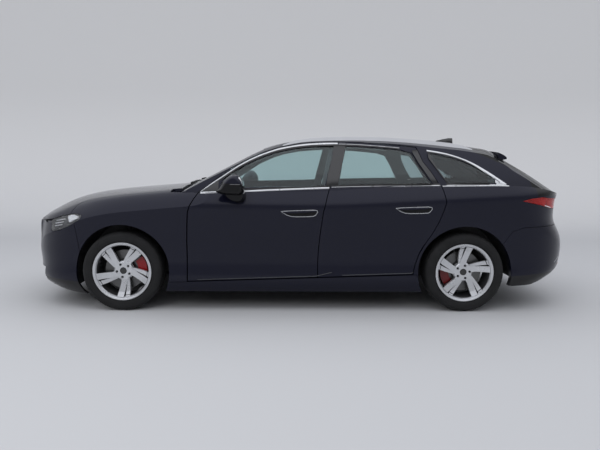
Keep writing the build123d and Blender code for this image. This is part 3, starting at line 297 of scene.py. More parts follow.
def grain_group():
    """Fine even grain, as on moulded plastic, rubber and cast metal."""
    group, first, last = new_group(
        "fine_grain",
        [("Color", COLOUR, (0.1, 0.1, 0.1, 1)), ("Scale", FLOAT, 400), ("Variation", FLOAT, 0.2),
         ("Roughness", FLOAT, 0.5), ("Depth", FLOAT, 0.2)],
        [("Color", COLOUR), ("Roughness", FLOAT), ("Normal", VECTOR)])
    place = group.nodes.new("ShaderNodeTexCoord")
    noise = group.nodes.new("ShaderNodeTexNoise")
    noise.inputs["Detail"].default_value = 3
    group.links.new(place.outputs["Object"], noise.inputs["Vector"])
    group.links.new(first.outputs["Scale"], noise.inputs["Scale"])
    cloud = group.nodes.new("ShaderNodeTexNoise")
    cloud.inputs["Scale"].default_value = 9
    group.links.new(place.outputs["Object"], cloud.inputs["Vector"])
    shade = math_node(group, "MULTIPLY", cloud.outputs["Fac"], first.outputs["Variation"])
    dark = group.nodes.new("ShaderNodeMix")
    dark.data_type, dark.blend_type = "RGBA", "MULTIPLY"
    group.links.new(shade, dark.inputs["Factor"])
    light, shadow = (s for s in dark.inputs if s.name in "AB" and s.type == "RGBA")
    group.links.new(first.outputs["Color"], light)
    shadow.default_value = (0.35, 0.35, 0.35, 1)
    group.links.new([s for s in dark.outputs if s.type == "RGBA"][0], last.inputs["Color"])
    spread = math_node(group, "MULTIPLY", math_node(group, "SUBTRACT", cloud.outputs["Fac"], 0.5), 0.25)
    rough = math_node(group, "ADD", first.outputs["Roughness"], spread, True)
    group.links.new(rough, last.inputs["Roughness"])
    bump = group.nodes.new("ShaderNodeBump")
    bump.inputs["Distance"].default_value = 0.0006
    group.links.new(first.outputs["Depth"], bump.inputs["Strength"])
    group.links.new(noise.outputs["Fac"], bump.inputs["Height"])
    group.links.new(bump.outputs["Normal"], last.inputs["Normal"])
    return group


GRAIN = grain_group()
print("group", GRAIN.name, [s.name for s in GRAIN.interface.items_tree])

# %% A finish made of the grain group


def grained(name, colour, roughness, scale=400, variation=0.3, depth=0.2, metallic=0.0, coat=0.0):
    """A material whose colour, roughness and bump come from the grain group."""
    made, shader = material(name)
    tree = made.node_tree
    grain = tree.nodes.new("ShaderNodeGroup")
    grain.node_tree = GRAIN
    for label, value in (("Color", (*colour, 1)), ("Scale", scale), ("Variation", variation),
                         ("Roughness", roughness), ("Depth", depth)):
        grain.inputs[label].default_value = value
    tree.links.new(grain.outputs["Color"], shader.inputs["Base Color"])
    tree.links.new(grain.outputs["Roughness"], shader.inputs["Roughness"])
    tree.links.new(grain.outputs["Normal"], shader.inputs["Normal"])
    shader.inputs["Metallic"].default_value = metallic
    shader.inputs["Coat Weight"].default_value = coat
    shader.inputs["Coat Roughness"].default_value = 0.06
    return made


def finish_node(names, made):
    """Give CAD nodes a material."""
    for name in names:
        mesh = nodes[name].data
        mesh.materials.clear()
        mesh.materials.append(made)


# %% [markdown]
# ## Body paint
# Dark blue metallic paint is a base colour with fine flakes in it, under a thick clear coat.
# The flakes are tiny cells of noise that tip the colour from near black to navy, and the
# clear coat is the shader's own Coat.

# %% Body paint


def paint(name, deep, flake):
    made, shader = material(name)
    tree = made.node_tree
    place = tree.nodes.new("ShaderNodeTexCoord")
    cells = tree.nodes.new("ShaderNodeTexVoronoi")
    cells.inputs["Scale"].default_value = 900
    tree.links.new(place.outputs["Object"], cells.inputs["Vector"])
    fleck = math_node(tree, "MULTIPLY", cells.outputs["Distance"], 0.9, True)
    colour = mix_colour(tree, fleck, (*deep, 1), (*flake, 1))
    tree.links.new(colour, shader.inputs["Base Color"])
    waves = tree.nodes.new("ShaderNodeTexNoise")
    waves.inputs["Scale"].default_value = 160
    tree.links.new(place.outputs["Object"], waves.inputs["Vector"])
    bump = tree.nodes.new("ShaderNodeBump")
    bump.inputs["Distance"].default_value = 0.0002
    bump.inputs["Strength"].default_value = 0.06
    tree.links.new(waves.outputs["Fac"], bump.inputs["Height"])
    tree.links.new(bump.outputs["Normal"], shader.inputs["Normal"])
    shader.inputs["Metallic"].default_value = 0.30
    shader.inputs["Roughness"].default_value = 0.36
    shader.inputs["Specular IOR Level"].default_value = 0.12
    shader.inputs["Coat Weight"].default_value = 0.70
    shader.inputs["Coat IOR"].default_value = 1.38
    shader.inputs["Coat Roughness"].default_value = 0.03
    return made


NAVY = (0.0015, 0.0018, 0.006), (0.009, 0.010, 0.028)
PAINT = paint("navy_metallic_paint", *NAVY)
body_nodes = ["roof_panel", "bonnet", "spoiler"]
for hand, side in SIDES:
    body_nodes += [f"{name}_{hand}" for name in ("side_frame", "front_fender", "front_door", "rear_door")]
finish_node(body_nodes, PAINT)

# %% Plain finishes
GLOSS_BLACK = grained("gloss_black", (0.008, 0.008, 0.009), 0.12, 700, 0.1, 0.02, 0, 0.6)
BLACK_PLASTIC = grained("black_plastic", (0.016, 0.016, 0.017), 0.5, 900, 0.3, 0.35)
UNDERBODY = grained("underbody_coating", (0.02, 0.02, 0.022), 0.75, 220, 0.5, 0.5)
SATIN_METAL = grained("satin_aluminium", (0.74, 0.75, 0.77), 0.30, 500, 0.10, 0.03, 0.7)
RAIL_METAL = grained("rail_aluminium", (0.46, 0.465, 0.48), 0.36, 420, 0.15, 0.05, 0.7)
CAST_METAL = grained("cast_metal", (0.10, 0.10, 0.105), 0.6, 260, 0.5, 0.4, 0.7)
STEEL = grained("brake_steel", (0.36, 0.35, 0.34), 0.38, 300, 0.4, 0.1, 1.0)
SOFT_DASH = grained("dash_skin", (0.022, 0.022, 0.024), 0.6, 500, 0.3, 0.5)


def glass(name, tint):
    made, shader = material(name)
    shader.inputs["Base Color"].default_value = (*tint, 1)
    shader.inputs["Transmission Weight"].default_value = 1.0
    shader.inputs["Roughness"].default_value = 0.0
    shader.inputs["IOR"].default_value = 1.45
    return made


CABIN_GLASS = glass("cabin_glass", (0.62, 0.76, 0.76))
REAR_GLASS = glass("dark_cabin_glass", (0.42, 0.50, 0.51))
finish_node(["windscreen", "front_window_left", "front_window_right",
             "rear_window_left", "rear_window_right"], CABIN_GLASS)
finish_node(["quarter_windows", "tailgate_window"], REAR_GLASS)
finish_node(["grille", "antenna"], GLOSS_BLACK)
finish_node(["roof_rails"], RAIL_METAL)
finish_node(["floor_pan", "firewall", "front_structure"], UNDERBODY)
finish_node(["front_wheel_housings", "rear_wheel_housings"], BLACK_PLASTIC)
finish_node(["radiator", "engine_block", "front_subframe"], CAST_METAL)
finish_node(["dashboard"], SOFT_DASH)

# %% [markdown]
# ## Laying trim on the skin
# Real trim is cut to the panel that it sits on.  Here a line of sight is cast at the panel from
# the side, and the place that it meets, with the panel's own slope there, carries the trim.
# A strip is then a grid of such places, raised along the slope, with a back that sinks a little
# into the panel so that no gap shows under it.

# %% Casting on to panels


def skin_of(*names):
    """A ray-casting tree of one or more CAD nodes."""
    verts, faces = [], []
    for name in names:
        mesh = nodes[name].data
        start = len(verts)
        verts += [v.co.copy() for v in mesh.vertices]
        faces += [[start + i for i in p.vertices] for p in mesh.polygons]
    return BVHTree.FromPolygons(verts, faces)


def meet_side(tree, x, z, side):
    """Distance from the centre line at which the skin is met from outside, or None."""
    hit = tree.ray_cast(Vector((x, side * 1.2, z)), Vector((0, -side, 0)))[0]
    return None if hit is None or hit.y * side < 0.3 else hit.y * side


def place_on_side(tree, x, z, side, last=None):
    """The place on the skin and the way out of it, smoothed over a few millimetres."""
    y = meet_side(tree, x, z, side)
    if y is None or (last is not None and abs(y - last) > 0.03):
        if last is None:
            return None, None
        y = last
    reach = 0.006
    slopes = []
    for dx, dz in ((reach, 0), (0, reach)):
        ahead, behind = meet_side(tree, x + dx, z + dz, side), meet_side(tree, x - dx, z - dz, side)
        ahead = y if ahead is None or abs(ahead - y) > 0.02 else ahead
        behind = y if behind is None or abs(behind - y) > 0.02 else behind
        slopes.append((ahead - behind) / (2 * reach))
    out = Vector((-slopes[0], 1, -slopes[1])).normalized()
    return Vector((x, side * y, z)), Vector((out.x, side * out.y, out.z))


def close_strip(name, verts, wide, made, body):
    """A closed strip from rings of places, smooth along it and sharp at its ends."""
    piece = turn_right(add_mesh(name, verts, ring_faces(len(verts) // wide, wide), made))
    for polygon in piece.data.polygons:
        polygon.use_smooth = len(polygon.vertices) == 4
    piece.data.set_sharp_from_angle(angle=math.radians(40))
    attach(piece, body)
    return piece


def lay_trim(name, tree, side, rows, raise_by, made, body, sink=0.002):
    """A closed strip over rows of (x, z) places; raise_by gives the height of each column."""
    verts = []
    last = [None] * len(rows[0])
    for row in rows:
        tops, backs = [], []
        for column, (x, z) in enumerate(row):
            spot, out = place_on_side(tree, x, z, side, last[column])
            if spot is None:
                spot, out = Vector((x, side * 0.6, z)), Vector((0, side, 0))
            else:
                last[column] = abs(spot.y)
            tops.append(spot + out * raise_by[column])
            backs.append(spot - out * sink)
        verts += tops + [backs[-1], backs[0]]
    return close_strip(name, verts, len(rows[0]) + 2, made, body)


def lay_cover(name, tree, side, rows, raise_by, made, body):
    """A pillar cover: like a strip, but levelled over the step between frame and glass."""
    tall, wide = len(rows), len(rows[0])
    depth = [[meet_side(tree, x, z, side) or 0.0 for x, z in row] for row in rows]

    def around(r, c):
        return [depth[i][j] for i in range(max(0, r - 1), min(tall, r + 2))
                for j in range(max(0, c - 1), min(wide, c + 2))]

    for _ in range(2):
        depth = [[max(depth[r][c], max(around(r, c)) - 0.0012) for c in range(wide)] for r in range(tall)]
    for _ in range(5):
        depth = [[sum(around(r, c)) / len(around(r, c)) for c in range(wide)] for r in range(tall)]
    verts = []
    back = Vector((0, side * 0.006, 0))
    for r, row in enumerate(rows):
        tops = [Vector((x, side * (depth[r][c] + raise_by[c]), z)) for c, (x, z) in enumerate(row)]
        verts += tops + [tops[-1] - back, tops[0] - back]
    return close_strip(name, verts, wide + 2, made, body)


def smooth_curve(points):
    """A Catmull-Rom curve z(x) through points that run from high x to low x."""
    def value(x):
        if x >= points[0][0]:
            (x0, z0), (x1, z1) = points[:2]
            return z0 + (z1 - z0) / (x1 - x0) * (x - x0)
        for i in range(len(points) - 1):
            (x0, z0), (x1, z1) = points[i], points[i + 1]
            if x >= x1:
                before = points[i - 1] if i else (2 * x0 - x1, 2 * z0 - z1)
                after = points[i + 2] if i + 2 < len(points) else (2 * x1 - x0, 2 * z1 - z0)
                t = (x - x0) / (x1 - x0)
                m0 = (z1 - before[1]) / (x1 - before[0]) * (x1 - x0)
                m1 = (after[1] - z0) / (after[0] - x0) * (x1 - x0)
                return ((2 * t**3 - 3 * t**2 + 1) * z0 + (t**3 - 2 * t**2 + t) * m0
                        + (-2 * t**3 + 3 * t**2) * z1 + (t**3 - t**2) * m1)
        (x0, z0), (x1, z1) = points[-2], points[-1]
        return z1 + (z1 - z0) / (x1 - x0) * (x - x1)
    return value


# The two lines that every window follows: the waist below the glass, and the top of the glass.
waist = smooth_curve([(1.1, 0.990), (0.845, 1.001), (0.428, 1.019), (0.010, 1.038), (-0.492, 1.056),
                      (-1.164, 1.070), (-1.669, 1.078), (-1.9, 1.069)])
glass_top = smooth_curve([(0.840, 1.010), (0.682, 1.116), (0.518, 1.226), (0.352, 1.309), (0.182, 1.367),
                          (0.0, 1.400), (-0.160, 1.413), (-0.320, 1.417), (-0.510, 1.412),
                          (-0.860, 1.386), (-1.120, 1.356), (-1.290, 1.322), (-1.450, 1.263),
                          (-1.600, 1.177), (-1.735, 1.086)])
print("waist at the B pillar", round(waist(-0.24), 3), "glass top", round(glass_top(-0.24), 3))

# %% Edge of a panel in x at one height


def edge_of(tree, z, inside, outside, side):
    """Bisect between a place on the panel and a place off it, along one height."""
    depth = meet_side(tree, inside, z, side)
    if depth is None:
        return inside
    for _ in range(12):
        middle = (inside + outside) / 2
        y = meet_side(tree, middle, z, side)
        if y is None or abs(y - depth) > 0.03:
            outside = middle
        else:
            inside, depth = middle, y
    return inside


def steps(start, end, count):
    """Evenly spaced values from start to end."""
    return [start + (end - start) * i / (count - 1) for i in range(count)]


def between(points, z):
    """x on a line through (x, z) points that run upward, at one height."""
    for (x0, z0), (x1, z1) in zip(points, points[1:]):
        if z <= z1:
            return x0 + (x1 - x0) * (z - z0) / (z1 - z0)
    return points[-1][0]


# %% [markdown]
# ## Bright strip and black pillars
# A satin aluminium strip runs round all three side windows.  Each door carries its own length
# of it, so the strip opens with the door.  It thickens into a wedge behind the last window.
# Inside the strip lies a thin black seal, and the pillars between the windows wear gloss black
# covers.  Crowned strips catch the light along their middle, which a painted line would not.

# %% Strip, seals and pillar covers
TRIM_WIDTH = 0.013
SEAL = 0.014
CROWN = (0.0006, 0.0026, 0.0034, 0.0026, 0.0006)
FLAT = (0.0007, 0.0009, 0.0009, 0.0007)
PILLAR_CROWN = (0.0006, 0.0012, 0.0014, 0.0012, 0.0006)
LOW_CROWN = (0.0006, 0.0010, 0.0012, 0.0010, 0.0006)
EDGE_SHORT = 0.0005                 # a cover ends this far short of its panel's edge


def ribbon(x0, x1, low, high, count, across):
    """Rows of places between two curves z(x)."""
    return [[(x, low(x) + (high(x) - low(x)) * i / (across - 1)) for i in range(across)]
            for x in steps(x0, x1, count)]


def column(z0, z1, front, back, count, across):
    """Rows of places between two lines x(z)."""
    return [[(front(z) + (back(z) - front(z)) * i / (across - 1), z) for i in range(across)]
            for z in steps(z0, z1, count)]


def top_low(x):
    """Lower edge of the upper strip: it drops behind the last window to make the wedge."""
    drop = max(0.0, (-1.38 - x) / 0.25) ** 1.6 * 0.022
    return max(glass_top(x) - drop, waist(x) + TRIM_WIDTH / 2)


def top_high(x):
    return max(glass_top(x) + TRIM_WIDTH * 0.95, waist(x) + TRIM_WIDTH / 2 + 0.001)


def waist_low(x):
    return waist(x) - TRIM_WIDTH / 2


def waist_high(x):
    return waist(x) + TRIM_WIDTH / 2


def seal_low(x):
    """Lower edge of the seal under the upper strip."""
    return glass_top(x) - SEAL


def seal_high(x):
    """Upper edge of the seal over the waist strip."""
    return waist(x) + 0.021


def cover_rows(tree, side, glass_line, z0, z1, inside, outside):
    """Rows for a pillar cover, from the glass line to the panel's own edge, front to rear."""
    def at_glass(z):
        return between(glass_line, z)

    def at_edge(z):
        x = between(glass_line, z)
        return edge_of(tree, z, x + inside, x + outside, side) - math.copysign(EDGE_SHORT, inside)

    front, back = (at_edge, at_glass) if inside > 0 else (at_glass, at_edge)
    return column(z0, z1, front, back, 26, 5)


FRONT_GLASS_REAR = [(-0.200, 1.0), (-0.222, 1.150), (-0.262, 1.300), (-0.284, 1.42)]
REAR_GLASS_FRONT = [(-0.300, 1.0), (-0.322, 1.150), (-0.362, 1.300), (-0.382, 1.42)]
REAR_GLASS_REAR = [(-1.122, 1.0), (-1.118, 1.08), (-1.060, 1.170), (-1.000, 1.262), (-0.958, 1.345),
                   (-0.950, 1.40)]
QUARTER_FRONT = [(-1.246, 1.0), (-1.240, 1.10), (-1.182, 1.180), (-1.124, 1.280), (-1.104, 1.36)]

for hand, side in SIDES:
    front_tree = skin_of(f"front_door_{hand}")
    rear_tree = skin_of(f"rear_door_{hand}")
    quarter_tree = skin_of(f"quarter_panel_{hand}")
    front_end = edge_of(front_tree, glass_top(-0.27) + 0.006, -0.20, -0.36, side) + 0.001
    rear_start = edge_of(rear_tree, glass_top(-0.36) + 0.006, -0.42, -0.26, side) - 0.001
    rear_end = edge_of(rear_tree, 1.372, -0.85, -1.12, side)
    quarter_start = edge_of(quarter_tree, 1.350, -1.16, -0.96, side)
    front_waist_end = edge_of(front_tree, waist(-0.22), -0.18, -0.34, side) + 0.001
    rear_waist_start = edge_of(rear_tree, waist(-0.24), -0.40, -0.16, side) - 0.001
    rear_waist_end = edge_of(rear_tree, waist(-1.17), -1.10, -1.26, side) + 0.001
    quarter_waist_start = edge_of(quarter_tree, waist(-1.19), -1.30, -1.12, side) - 0.001
    front_body, rear_body = f"front_door_{hand}", f"rear_door_{hand}"
    for label, tree, body, x0, x1, low, high, count in (
            ("top_front", front_tree, front_body, 0.842, front_end, glass_top, top_high, 70),
            ("waist_front", front_tree, front_body, 0.862, front_waist_end, waist_low, waist_high, 60),
            ("top_rear", rear_tree, rear_body, rear_start, rear_end, glass_top, top_high, 50),
            ("waist_rear", rear_tree, rear_body, rear_waist_start, rear_waist_end, waist_low, waist_high, 50),
            ("top_quarter", quarter_tree, "body", quarter_start, -1.752, top_low, top_high, 60),
            ("waist_quarter", quarter_tree, "body", quarter_waist_start, -1.742, waist_low, waist_high, 40)):
        lay_trim(f"window_strip_{label}_{hand}", tree, side, ribbon(x0, x1, low, high, count, 5),
                 CROWN, SATIN_METAL, body)
    lay_trim(f"window_strip_corner_{hand}", quarter_tree, side,
             ribbon(-1.652, -1.748, lambda x: waist_high(x) - 0.003,
                    lambda x: max(top_high(x), waist_high(x)) - 0.002, 20, 5),
             (0.0022, 0.0030, 0.0032, 0.0030, 0.0022), SATIN_METAL, "body")
    # Seals between the strip and the glass.
    for label, tree, body, x0, x1, low, high in (
            ("top_front", front_tree, front_body, 0.70, front_end, seal_low, top_low),
            ("top_rear", rear_tree, rear_body, rear_start, rear_end, seal_low, top_low),
            ("top_quarter", quarter_tree, "body", quarter_start, -1.56, seal_low, top_low),
            ("waist_front", front_tree, front_body, 0.70, front_waist_end, waist_high, seal_high),
            ("waist_rear", rear_tree, rear_body, rear_waist_start, rear_waist_end, waist_high, seal_high),
            ("waist_quarter", quarter_tree, "body", quarter_waist_start, -1.60, waist_high, seal_high)):
        lay_trim(f"window_seal_{label}_{hand}", tree, side, ribbon(x0, x1, low, high, 50, 4),
                 FLAT, BLACK_PLASTIC, body)
    # Gloss black covers on the pillars and in the mirror corner.
    lay_trim(f"mirror_corner_{hand}", front_tree, side,
             ribbon(0.838, 0.694, waist_high, glass_top, 16, 5), (0.0008, 0.0012, 0.0013, 0.0012, 0.0008),
             GLOSS_BLACK, front_body)
    for label, tree, body, line, z0, z1, inside, outside, crown in (
            ("b_pillar_front", front_tree, front_body, FRONT_GLASS_REAR, 1.05, 1.412, -0.015, -0.14,
             PILLAR_CROWN),
            ("b_pillar_rear", rear_tree, rear_body, REAR_GLASS_FRONT, 1.06, 1.412, 0.012, 0.12, PILLAR_CROWN),
            ("c_pillar_rear", rear_tree, rear_body, REAR_GLASS_REAR, 1.09, 1.372, -0.012, -0.14,
             PILLAR_CROWN),
            ("c_pillar_quarter", quarter_tree, "body", QUARTER_FRONT, 1.09, 1.345, 0.006, 0.13, LOW_CROWN)):
        lay_cover(f"{label}_{hand}", tree, side, cover_rows(tree, side, line, z0, z1, inside, outside),
                  crown, GLOSS_BLACK, body)
    print(hand, "front strip ends at", round(front_end, 3), "rear starts at", round(rear_start, 3),
          "rear ends at", round(rear_end, 3), "quarter starts at", round(quarter_start, 3))

# %% [markdown]
# ## Two finishes on one panel
# The mirror cap is painted above and black below, the tail corner wears gloss black, and the
# calipers are red on an unpainted hub carrier.  Each is one casting or pressing in the
# engineering model, so the change of finish is a mask by place.  One group measures the
# distance past a slanting line in side view, another the distance from an axle.

# %% Mask groups


def past_line_group():
    """Mask of what lies past a line in side view: Along * x + Up * z > Limit."""
    group, first, last = new_group(
        "past_line", [("Along", FLOAT, 0), ("Up", FLOAT, 1), ("Limit", FLOAT, 0)], [("Mask", FLOAT)])
    place = group.nodes.new("ShaderNodeTexCoord")
    split = group.nodes.new("ShaderNodeSeparateXYZ")
    group.links.new(place.outputs["Object"], split.inputs[0])
    along = math_node(group, "MULTIPLY", split.outputs["X"], first.outputs["Along"])
    up = math_node(group, "MULTIPLY", split.outputs["Z"], first.outputs["Up"])
    past = math_node(group, "SUBTRACT", math_node(group, "ADD", along, up), first.outputs["Limit"])
    group.links.new(math_node(group, "MULTIPLY", past, 1500.0, True), last.inputs["Mask"])
    return group


def around_axle_group():
    """Distance from an axle and from the car's centre plane."""
    group, first, last = new_group(
        "around_axle", [("Axle X", FLOAT, 0), ("Axle Z", FLOAT, 0.336)], [("Radius", FLOAT), ("Out", FLOAT)])
    place = group.nodes.new("ShaderNodeTexCoord")
    split = group.nodes.new("ShaderNodeSeparateXYZ")
    group.links.new(place.outputs["Object"], split.inputs[0])
    x = math_node(group, "SUBTRACT", split.outputs["X"], first.outputs["Axle X"])
    z = math_node(group, "SUBTRACT", split.outputs["Z"], first.outputs["Axle Z"])
    square = math_node(group, "ADD", math_node(group, "MULTIPLY", x, x), math_node(group, "MULTIPLY", z, z))
    group.links.new(math_node(group, "SQRT", square), last.inputs["Radius"])
    group.links.new(math_node(group, "ABSOLUTE", split.outputs["Y"]), last.inputs["Out"])
    return group


PAST_LINE, AROUND_AXLE = past_line_group(), around_axle_group()


def past_line(tree, start, end):
    """Mask past the line from start to end, on its upper side when it runs rearward."""
    dx, dz = end[0] - start[0], end[1] - start[1]
    length = math.hypot(dx, dz)
    node = tree.nodes.new("ShaderNodeGroup")
    node.node_tree = PAST_LINE
    along, up = dz / length, -dx / length
    node.inputs["Along"].default_value = along
    node.inputs["Up"].default_value = up
    node.inputs["Limit"].default_value = along * start[0] + up * start[1]
    return node.outputs["Mask"]


def over(tree, value, limit, sharp=2000.0):
    """1 where the value is over the limit, 0 where it is under."""
    return math_node(tree, "MULTIPLY", math_node(tree, "SUBTRACT", value, limit), sharp, True)


def under(tree, value, limit, sharp=2000.0):
    return math_node(tree, "SUBTRACT", 1.0, over(tree, value, limit, sharp))


def mask_finish(made, mask, colour, roughness=None, metallic=None):
    """Blend a second finish over a material's own where the mask is 1."""
    tree = made.node_tree
    shader = tree.nodes["Principled BSDF"]
    own = shader.inputs["Base Color"].links[0].from_socket
    tree.links.new(mix_colour(tree, mask, own, (*colour, 1)), shader.inputs["Base Color"])
    for label, value in (("Roughness", roughness), ("Metallic", metallic)):
        if value is None:
            continue
        socket = shader.inputs[label]
        blend = tree.nodes.new("ShaderNodeMix")
        tree.links.new(mask, blend.inputs["Factor"])
        if socket.links:
            tree.links.new(socket.links[0].from_socket, blend.inputs["A"])
        else:
            blend.inputs["A"].default_value = socket.default_value
        blend.inputs["B"].default_value = value
        tree.links.new(blend.outputs["Result"], socket)


# %% Mirror, tail corner and lower bumpers
BLACK_TRIM = (0.0015, 0.0015, 0.0018)
MIRROR_PAINT = paint("mirror_paint", *NAVY)
mirror_tree = MIRROR_PAINT.node_tree
mask_finish(MIRROR_PAINT, past_line(mirror_tree, (0.40, 1.080), (0.72, 1.092)), BLACK_TRIM, 0.22, 0.0)
# A flush pale strip on the cap is a mask too: between two levels and two stations.
strip = past_line(mirror_tree, (0.6, 1.0775), (0.4, 1.0775))
strip = math_node(mirror_tree, "SUBTRACT", strip, past_line(mirror_tree, (0.6, 1.0808), (0.4, 1.0808)), True)
strip = math_node(mirror_tree, "MULTIPLY", strip, past_line(mirror_tree, (0.495, 1.0), (0.495, 1.2)))
strip = math_node(mirror_tree, "SUBTRACT", strip, past_line(mirror_tree, (0.576, 1.0), (0.576, 1.2)), True)
mask_finish(MIRROR_PAINT, strip, (0.22, 0.22, 0.23), 0.2, 0.0)
finish_node(["mirror_left", "mirror_right"], MIRROR_PAINT)

TAIL_PAINT = paint("tail_corner_paint", *NAVY)
tail_tree = TAIL_PAINT.node_tree
corner_line = [(-1.69, 1.276), (-1.888, 1.19), (-1.96, 1.12), (-2.0, 0.97)]
corner_mask = None
for start, end in zip(corner_line, corner_line[1:]):
    part = past_line(tail_tree, start, end)
    corner_mask = part if corner_mask is None else math_node(tail_tree, "MAXIMUM", corner_mask, part)
corner_mask = math_node(tail_tree, "MINIMUM", corner_mask, past_line(tail_tree, (0, 0.968), (-1, 0.978)))
mask_finish(TAIL_PAINT, corner_mask, BLACK_TRIM, 0.16, 0.0)
finish_node(["quarter_panel_left", "quarter_panel_right", "tailgate"], TAIL_PAINT)

for name, start, end in (("front_bumper", (2.5, 0.262), (1.0, 0.206)),
                         ("rear_bumper", (-1.0, 0.27), (-2.5, 0.345))):
    made = paint(name + "_paint", *NAVY)
    mask = math_node(made.node_tree, "SUBTRACT", 1.0, past_line(made.node_tree, start, end))
    mask_finish(made, mask, (0.012, 0.012, 0.013), 0.55, 0.0)
    finish_node([name], made)
print("mask groups", PAST_LINE.name, AROUND_AXLE.name)

# %% [markdown]
# ## Lamps
# A lamp is a clear lens over a dark bowl with the light units inside.  The engineering model
# has it as one solid block of the right outside shape, so the block is taken apart here: its
# outer faces become a thin lens, the rest becomes the bowl, and the units go between them.

# %% Taking a lamp apart


def part_of_node(name, label, keep, made, thickness):
    """A thin-walled copy of some of a node's faces."""
    bm = bmesh.new()
    bm.from_mesh(nodes[name].data)
    bmesh.ops.remove_doubles(bm, verts=bm.verts, dist=0.00005)
    bm.normal_update()
    bmesh.ops.delete(bm, geom=[f for f in bm.faces if not keep(f)], context="FACES")
    bmesh.ops.delete(bm, geom=[v for v in bm.verts if not v.link_faces], context="VERTS")
    for face in bm.faces:
        face.smooth = True
    bmesh.ops.solidify(bm, geom=bm.faces[:], thickness=thickness)
    mesh = bpy.data.meshes.new(label)
    bm.to_mesh(mesh)
    bm.free()
    mesh.materials.append(made)
    mesh.set_sharp_from_angle(angle=math.radians(35))
    piece = bpy.data.objects.new(label, mesh)
    scene.collection.objects.link(piece)
    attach(piece, "body")
    return piece


def is_lens(face):
    """Outer faces look away from the car's centre line."""
    side = 1 if face.calc_center_median().y > 0 else -1
    return face.normal.y * side > 0.04


LENS = glass("lamp_lens", (0.96, 0.97, 0.98))
RED_GLASS = glass("red_lamp_lens", (0.95, 0.10, 0.08))
BOWL = grained("lamp_bowl", (0.11, 0.113, 0.118), 0.3, 700, 0.4, 0.1, 0.2)
# A real reflector is chrome: this near-white matt colour is a painted reflection.
HEADLAMP_REFLECTOR_SHEEN = grained("lamp_reflector_painted_sheen", (0.92, 0.93, 0.95), 0.35, 160, 0.05, 0.25, 0.05)
LIGHT_BAR = grained("light_guide", (0.93, 0.94, 0.95), 0.3, 900, 0.03, 0.05)
RED_UNIT = grained("red_light_unit", (0.80, 0.020, 0.014), 0.3, 260, 0.12, 0.35, 0.0, 0.5)
for name, lens_material, bowl_material in (("headlamps", LENS, BOWL), ("tail_lamps", RED_GLASS, RED_UNIT)):
    lens = part_of_node(name, name + "_lens", is_lens, lens_material, 0.0025)
    bowl = part_of_node(name, name + "_bowl", lambda f: not is_lens(f), bowl_material, 0.0015)
    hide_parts(name)
    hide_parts(name)
    print(name, len(lens.data.polygons), "lens faces", len(bowl.data.polygons), "bowl faces")

# %% Light units
HEADLAMP_BARS = 4
for hand, side in SIDES:
    lamp_tree = skin_of("headlamps")
    # Reflector: a slanting shield under the lens, toward the rear of the lamp, near white and matt
    # so that its colour paints in the bright reflection of a chrome reflector.
    shield_top = [(0.796, 1.868), (0.803, 1.890), (0.808, 1.915), (0.806, 1.940), (0.803, 1.958),
                  (0.797, 1.982)]
    shield_foot = [(0.788, 1.868), (0.777, 1.890), (0.765, 1.915), (0.752, 1.940), (0.746, 1.958),
                   (0.788, 1.982)]
    rows = []
    for x in steps(1.981, 1.869, 24):
        high, low = between(shield_top, x), between(shield_foot, x)
        rows.append([(x, low + (high - low) * i / 4) for i in range(5)])
    lay_trim(f"headlamp_reflector_{hand}", lamp_tree, side, rows,
             (-0.0045, -0.0055, -0.006, -0.0055, -0.0045), HEADLAMP_REFLECTOR_SHEEN, "body", 0.012)
    # Daylight bars: thin light guides one over another, each following the lamp's slant.
    for bar in range(HEADLAMP_BARS):
        rise = 0.772 - 0.022 * bar
        front, rear = 2.112 + 0.003 * bar, 2.000 + 0.012 * bar
        rows = [[(x, rise + 0.026 * (2.12 - x) / 0.13 + dz) for dz in (-0.0028, 0, 0.0028)]
                for x in steps(front, rear, 9)]
        lay_trim(f"headlamp_bar_{bar}_{hand}", lamp_tree, side, rows, (-0.008, -0.0055, -0.008),
                 LIGHT_BAR, "body", 0.014)
    tail_skin = skin_of("tail_lamps")
    rows = [[(x, 0.9135 - 0.0335 * (-x - 2.030) / 0.129 + dz) for dz in (0.0012, 0.005, 0.0088)]
            for x in steps(-2.072, -2.150, 12)]
    lay_trim(f"tail_lamp_clear_strip_{hand}", tail_skin, side, rows, (0.0006, 0.0012, 0.0006),
             LIGHT_BAR, "body")
print("headlamp units laid")

# %% [markdown]
# ## Door handles
# Each handle is a grip bar over a finger recess with a bright lip round it.  The lip runs to a
# point at the front.  The recess is not cut into the door: a near-black patch laid behind the grip
# paints in the shade inside it, and the lip frames the patch.

# %% Door handles
HANDLE_METAL = grained("handle_bright_lip", (0.55, 0.56, 0.58), 0.28, 700, 0.1, 0.03, 0.85)
# Near black: the painted shade of the finger recess, laid as a patch on the door.
HANDLE_RECESS_SHADE = grained("handle_recess_painted_shade", (0.002, 0.002, 0.003), 0.8, 700, 0.2, 0.1)
HANDLE_REAR, HANDLE_FRONT = -0.135, 0.165
HANDLE_LIFT = {"front": (0.0, 0.0), "rear": (-0.953, 0.032)}       # shift in x and z


def tube_along(name, places, radius, made, body, sides=8, closed=True, squash=1.0):
    """A round rod through places."""
    verts = []
    count = len(places)
    for i, place in enumerate(places):
        before = places[(i - 1) % count] if closed or i else places[0]
        after = places[(i + 1) % count] if closed or i < count - 1 else places[-1]
        ahead = (after - before).normalized()
        flat = ahead.cross(Vector((0, 1, 0))).normalized()
        out = flat.cross(ahead).normalized()
        width = radius[i] if isinstance(radius, (list, tuple)) else radius
        for s in range(sides):
            turn = 2 * math.pi * s / sides
            verts.append(place + flat * math.cos(turn) * width + out * math.sin(turn) * width * squash)
    piece = turn_right(add_mesh(name, verts, ring_faces(count, sides, closed), made, smooth=True))
    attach(piece, body)
    return piece


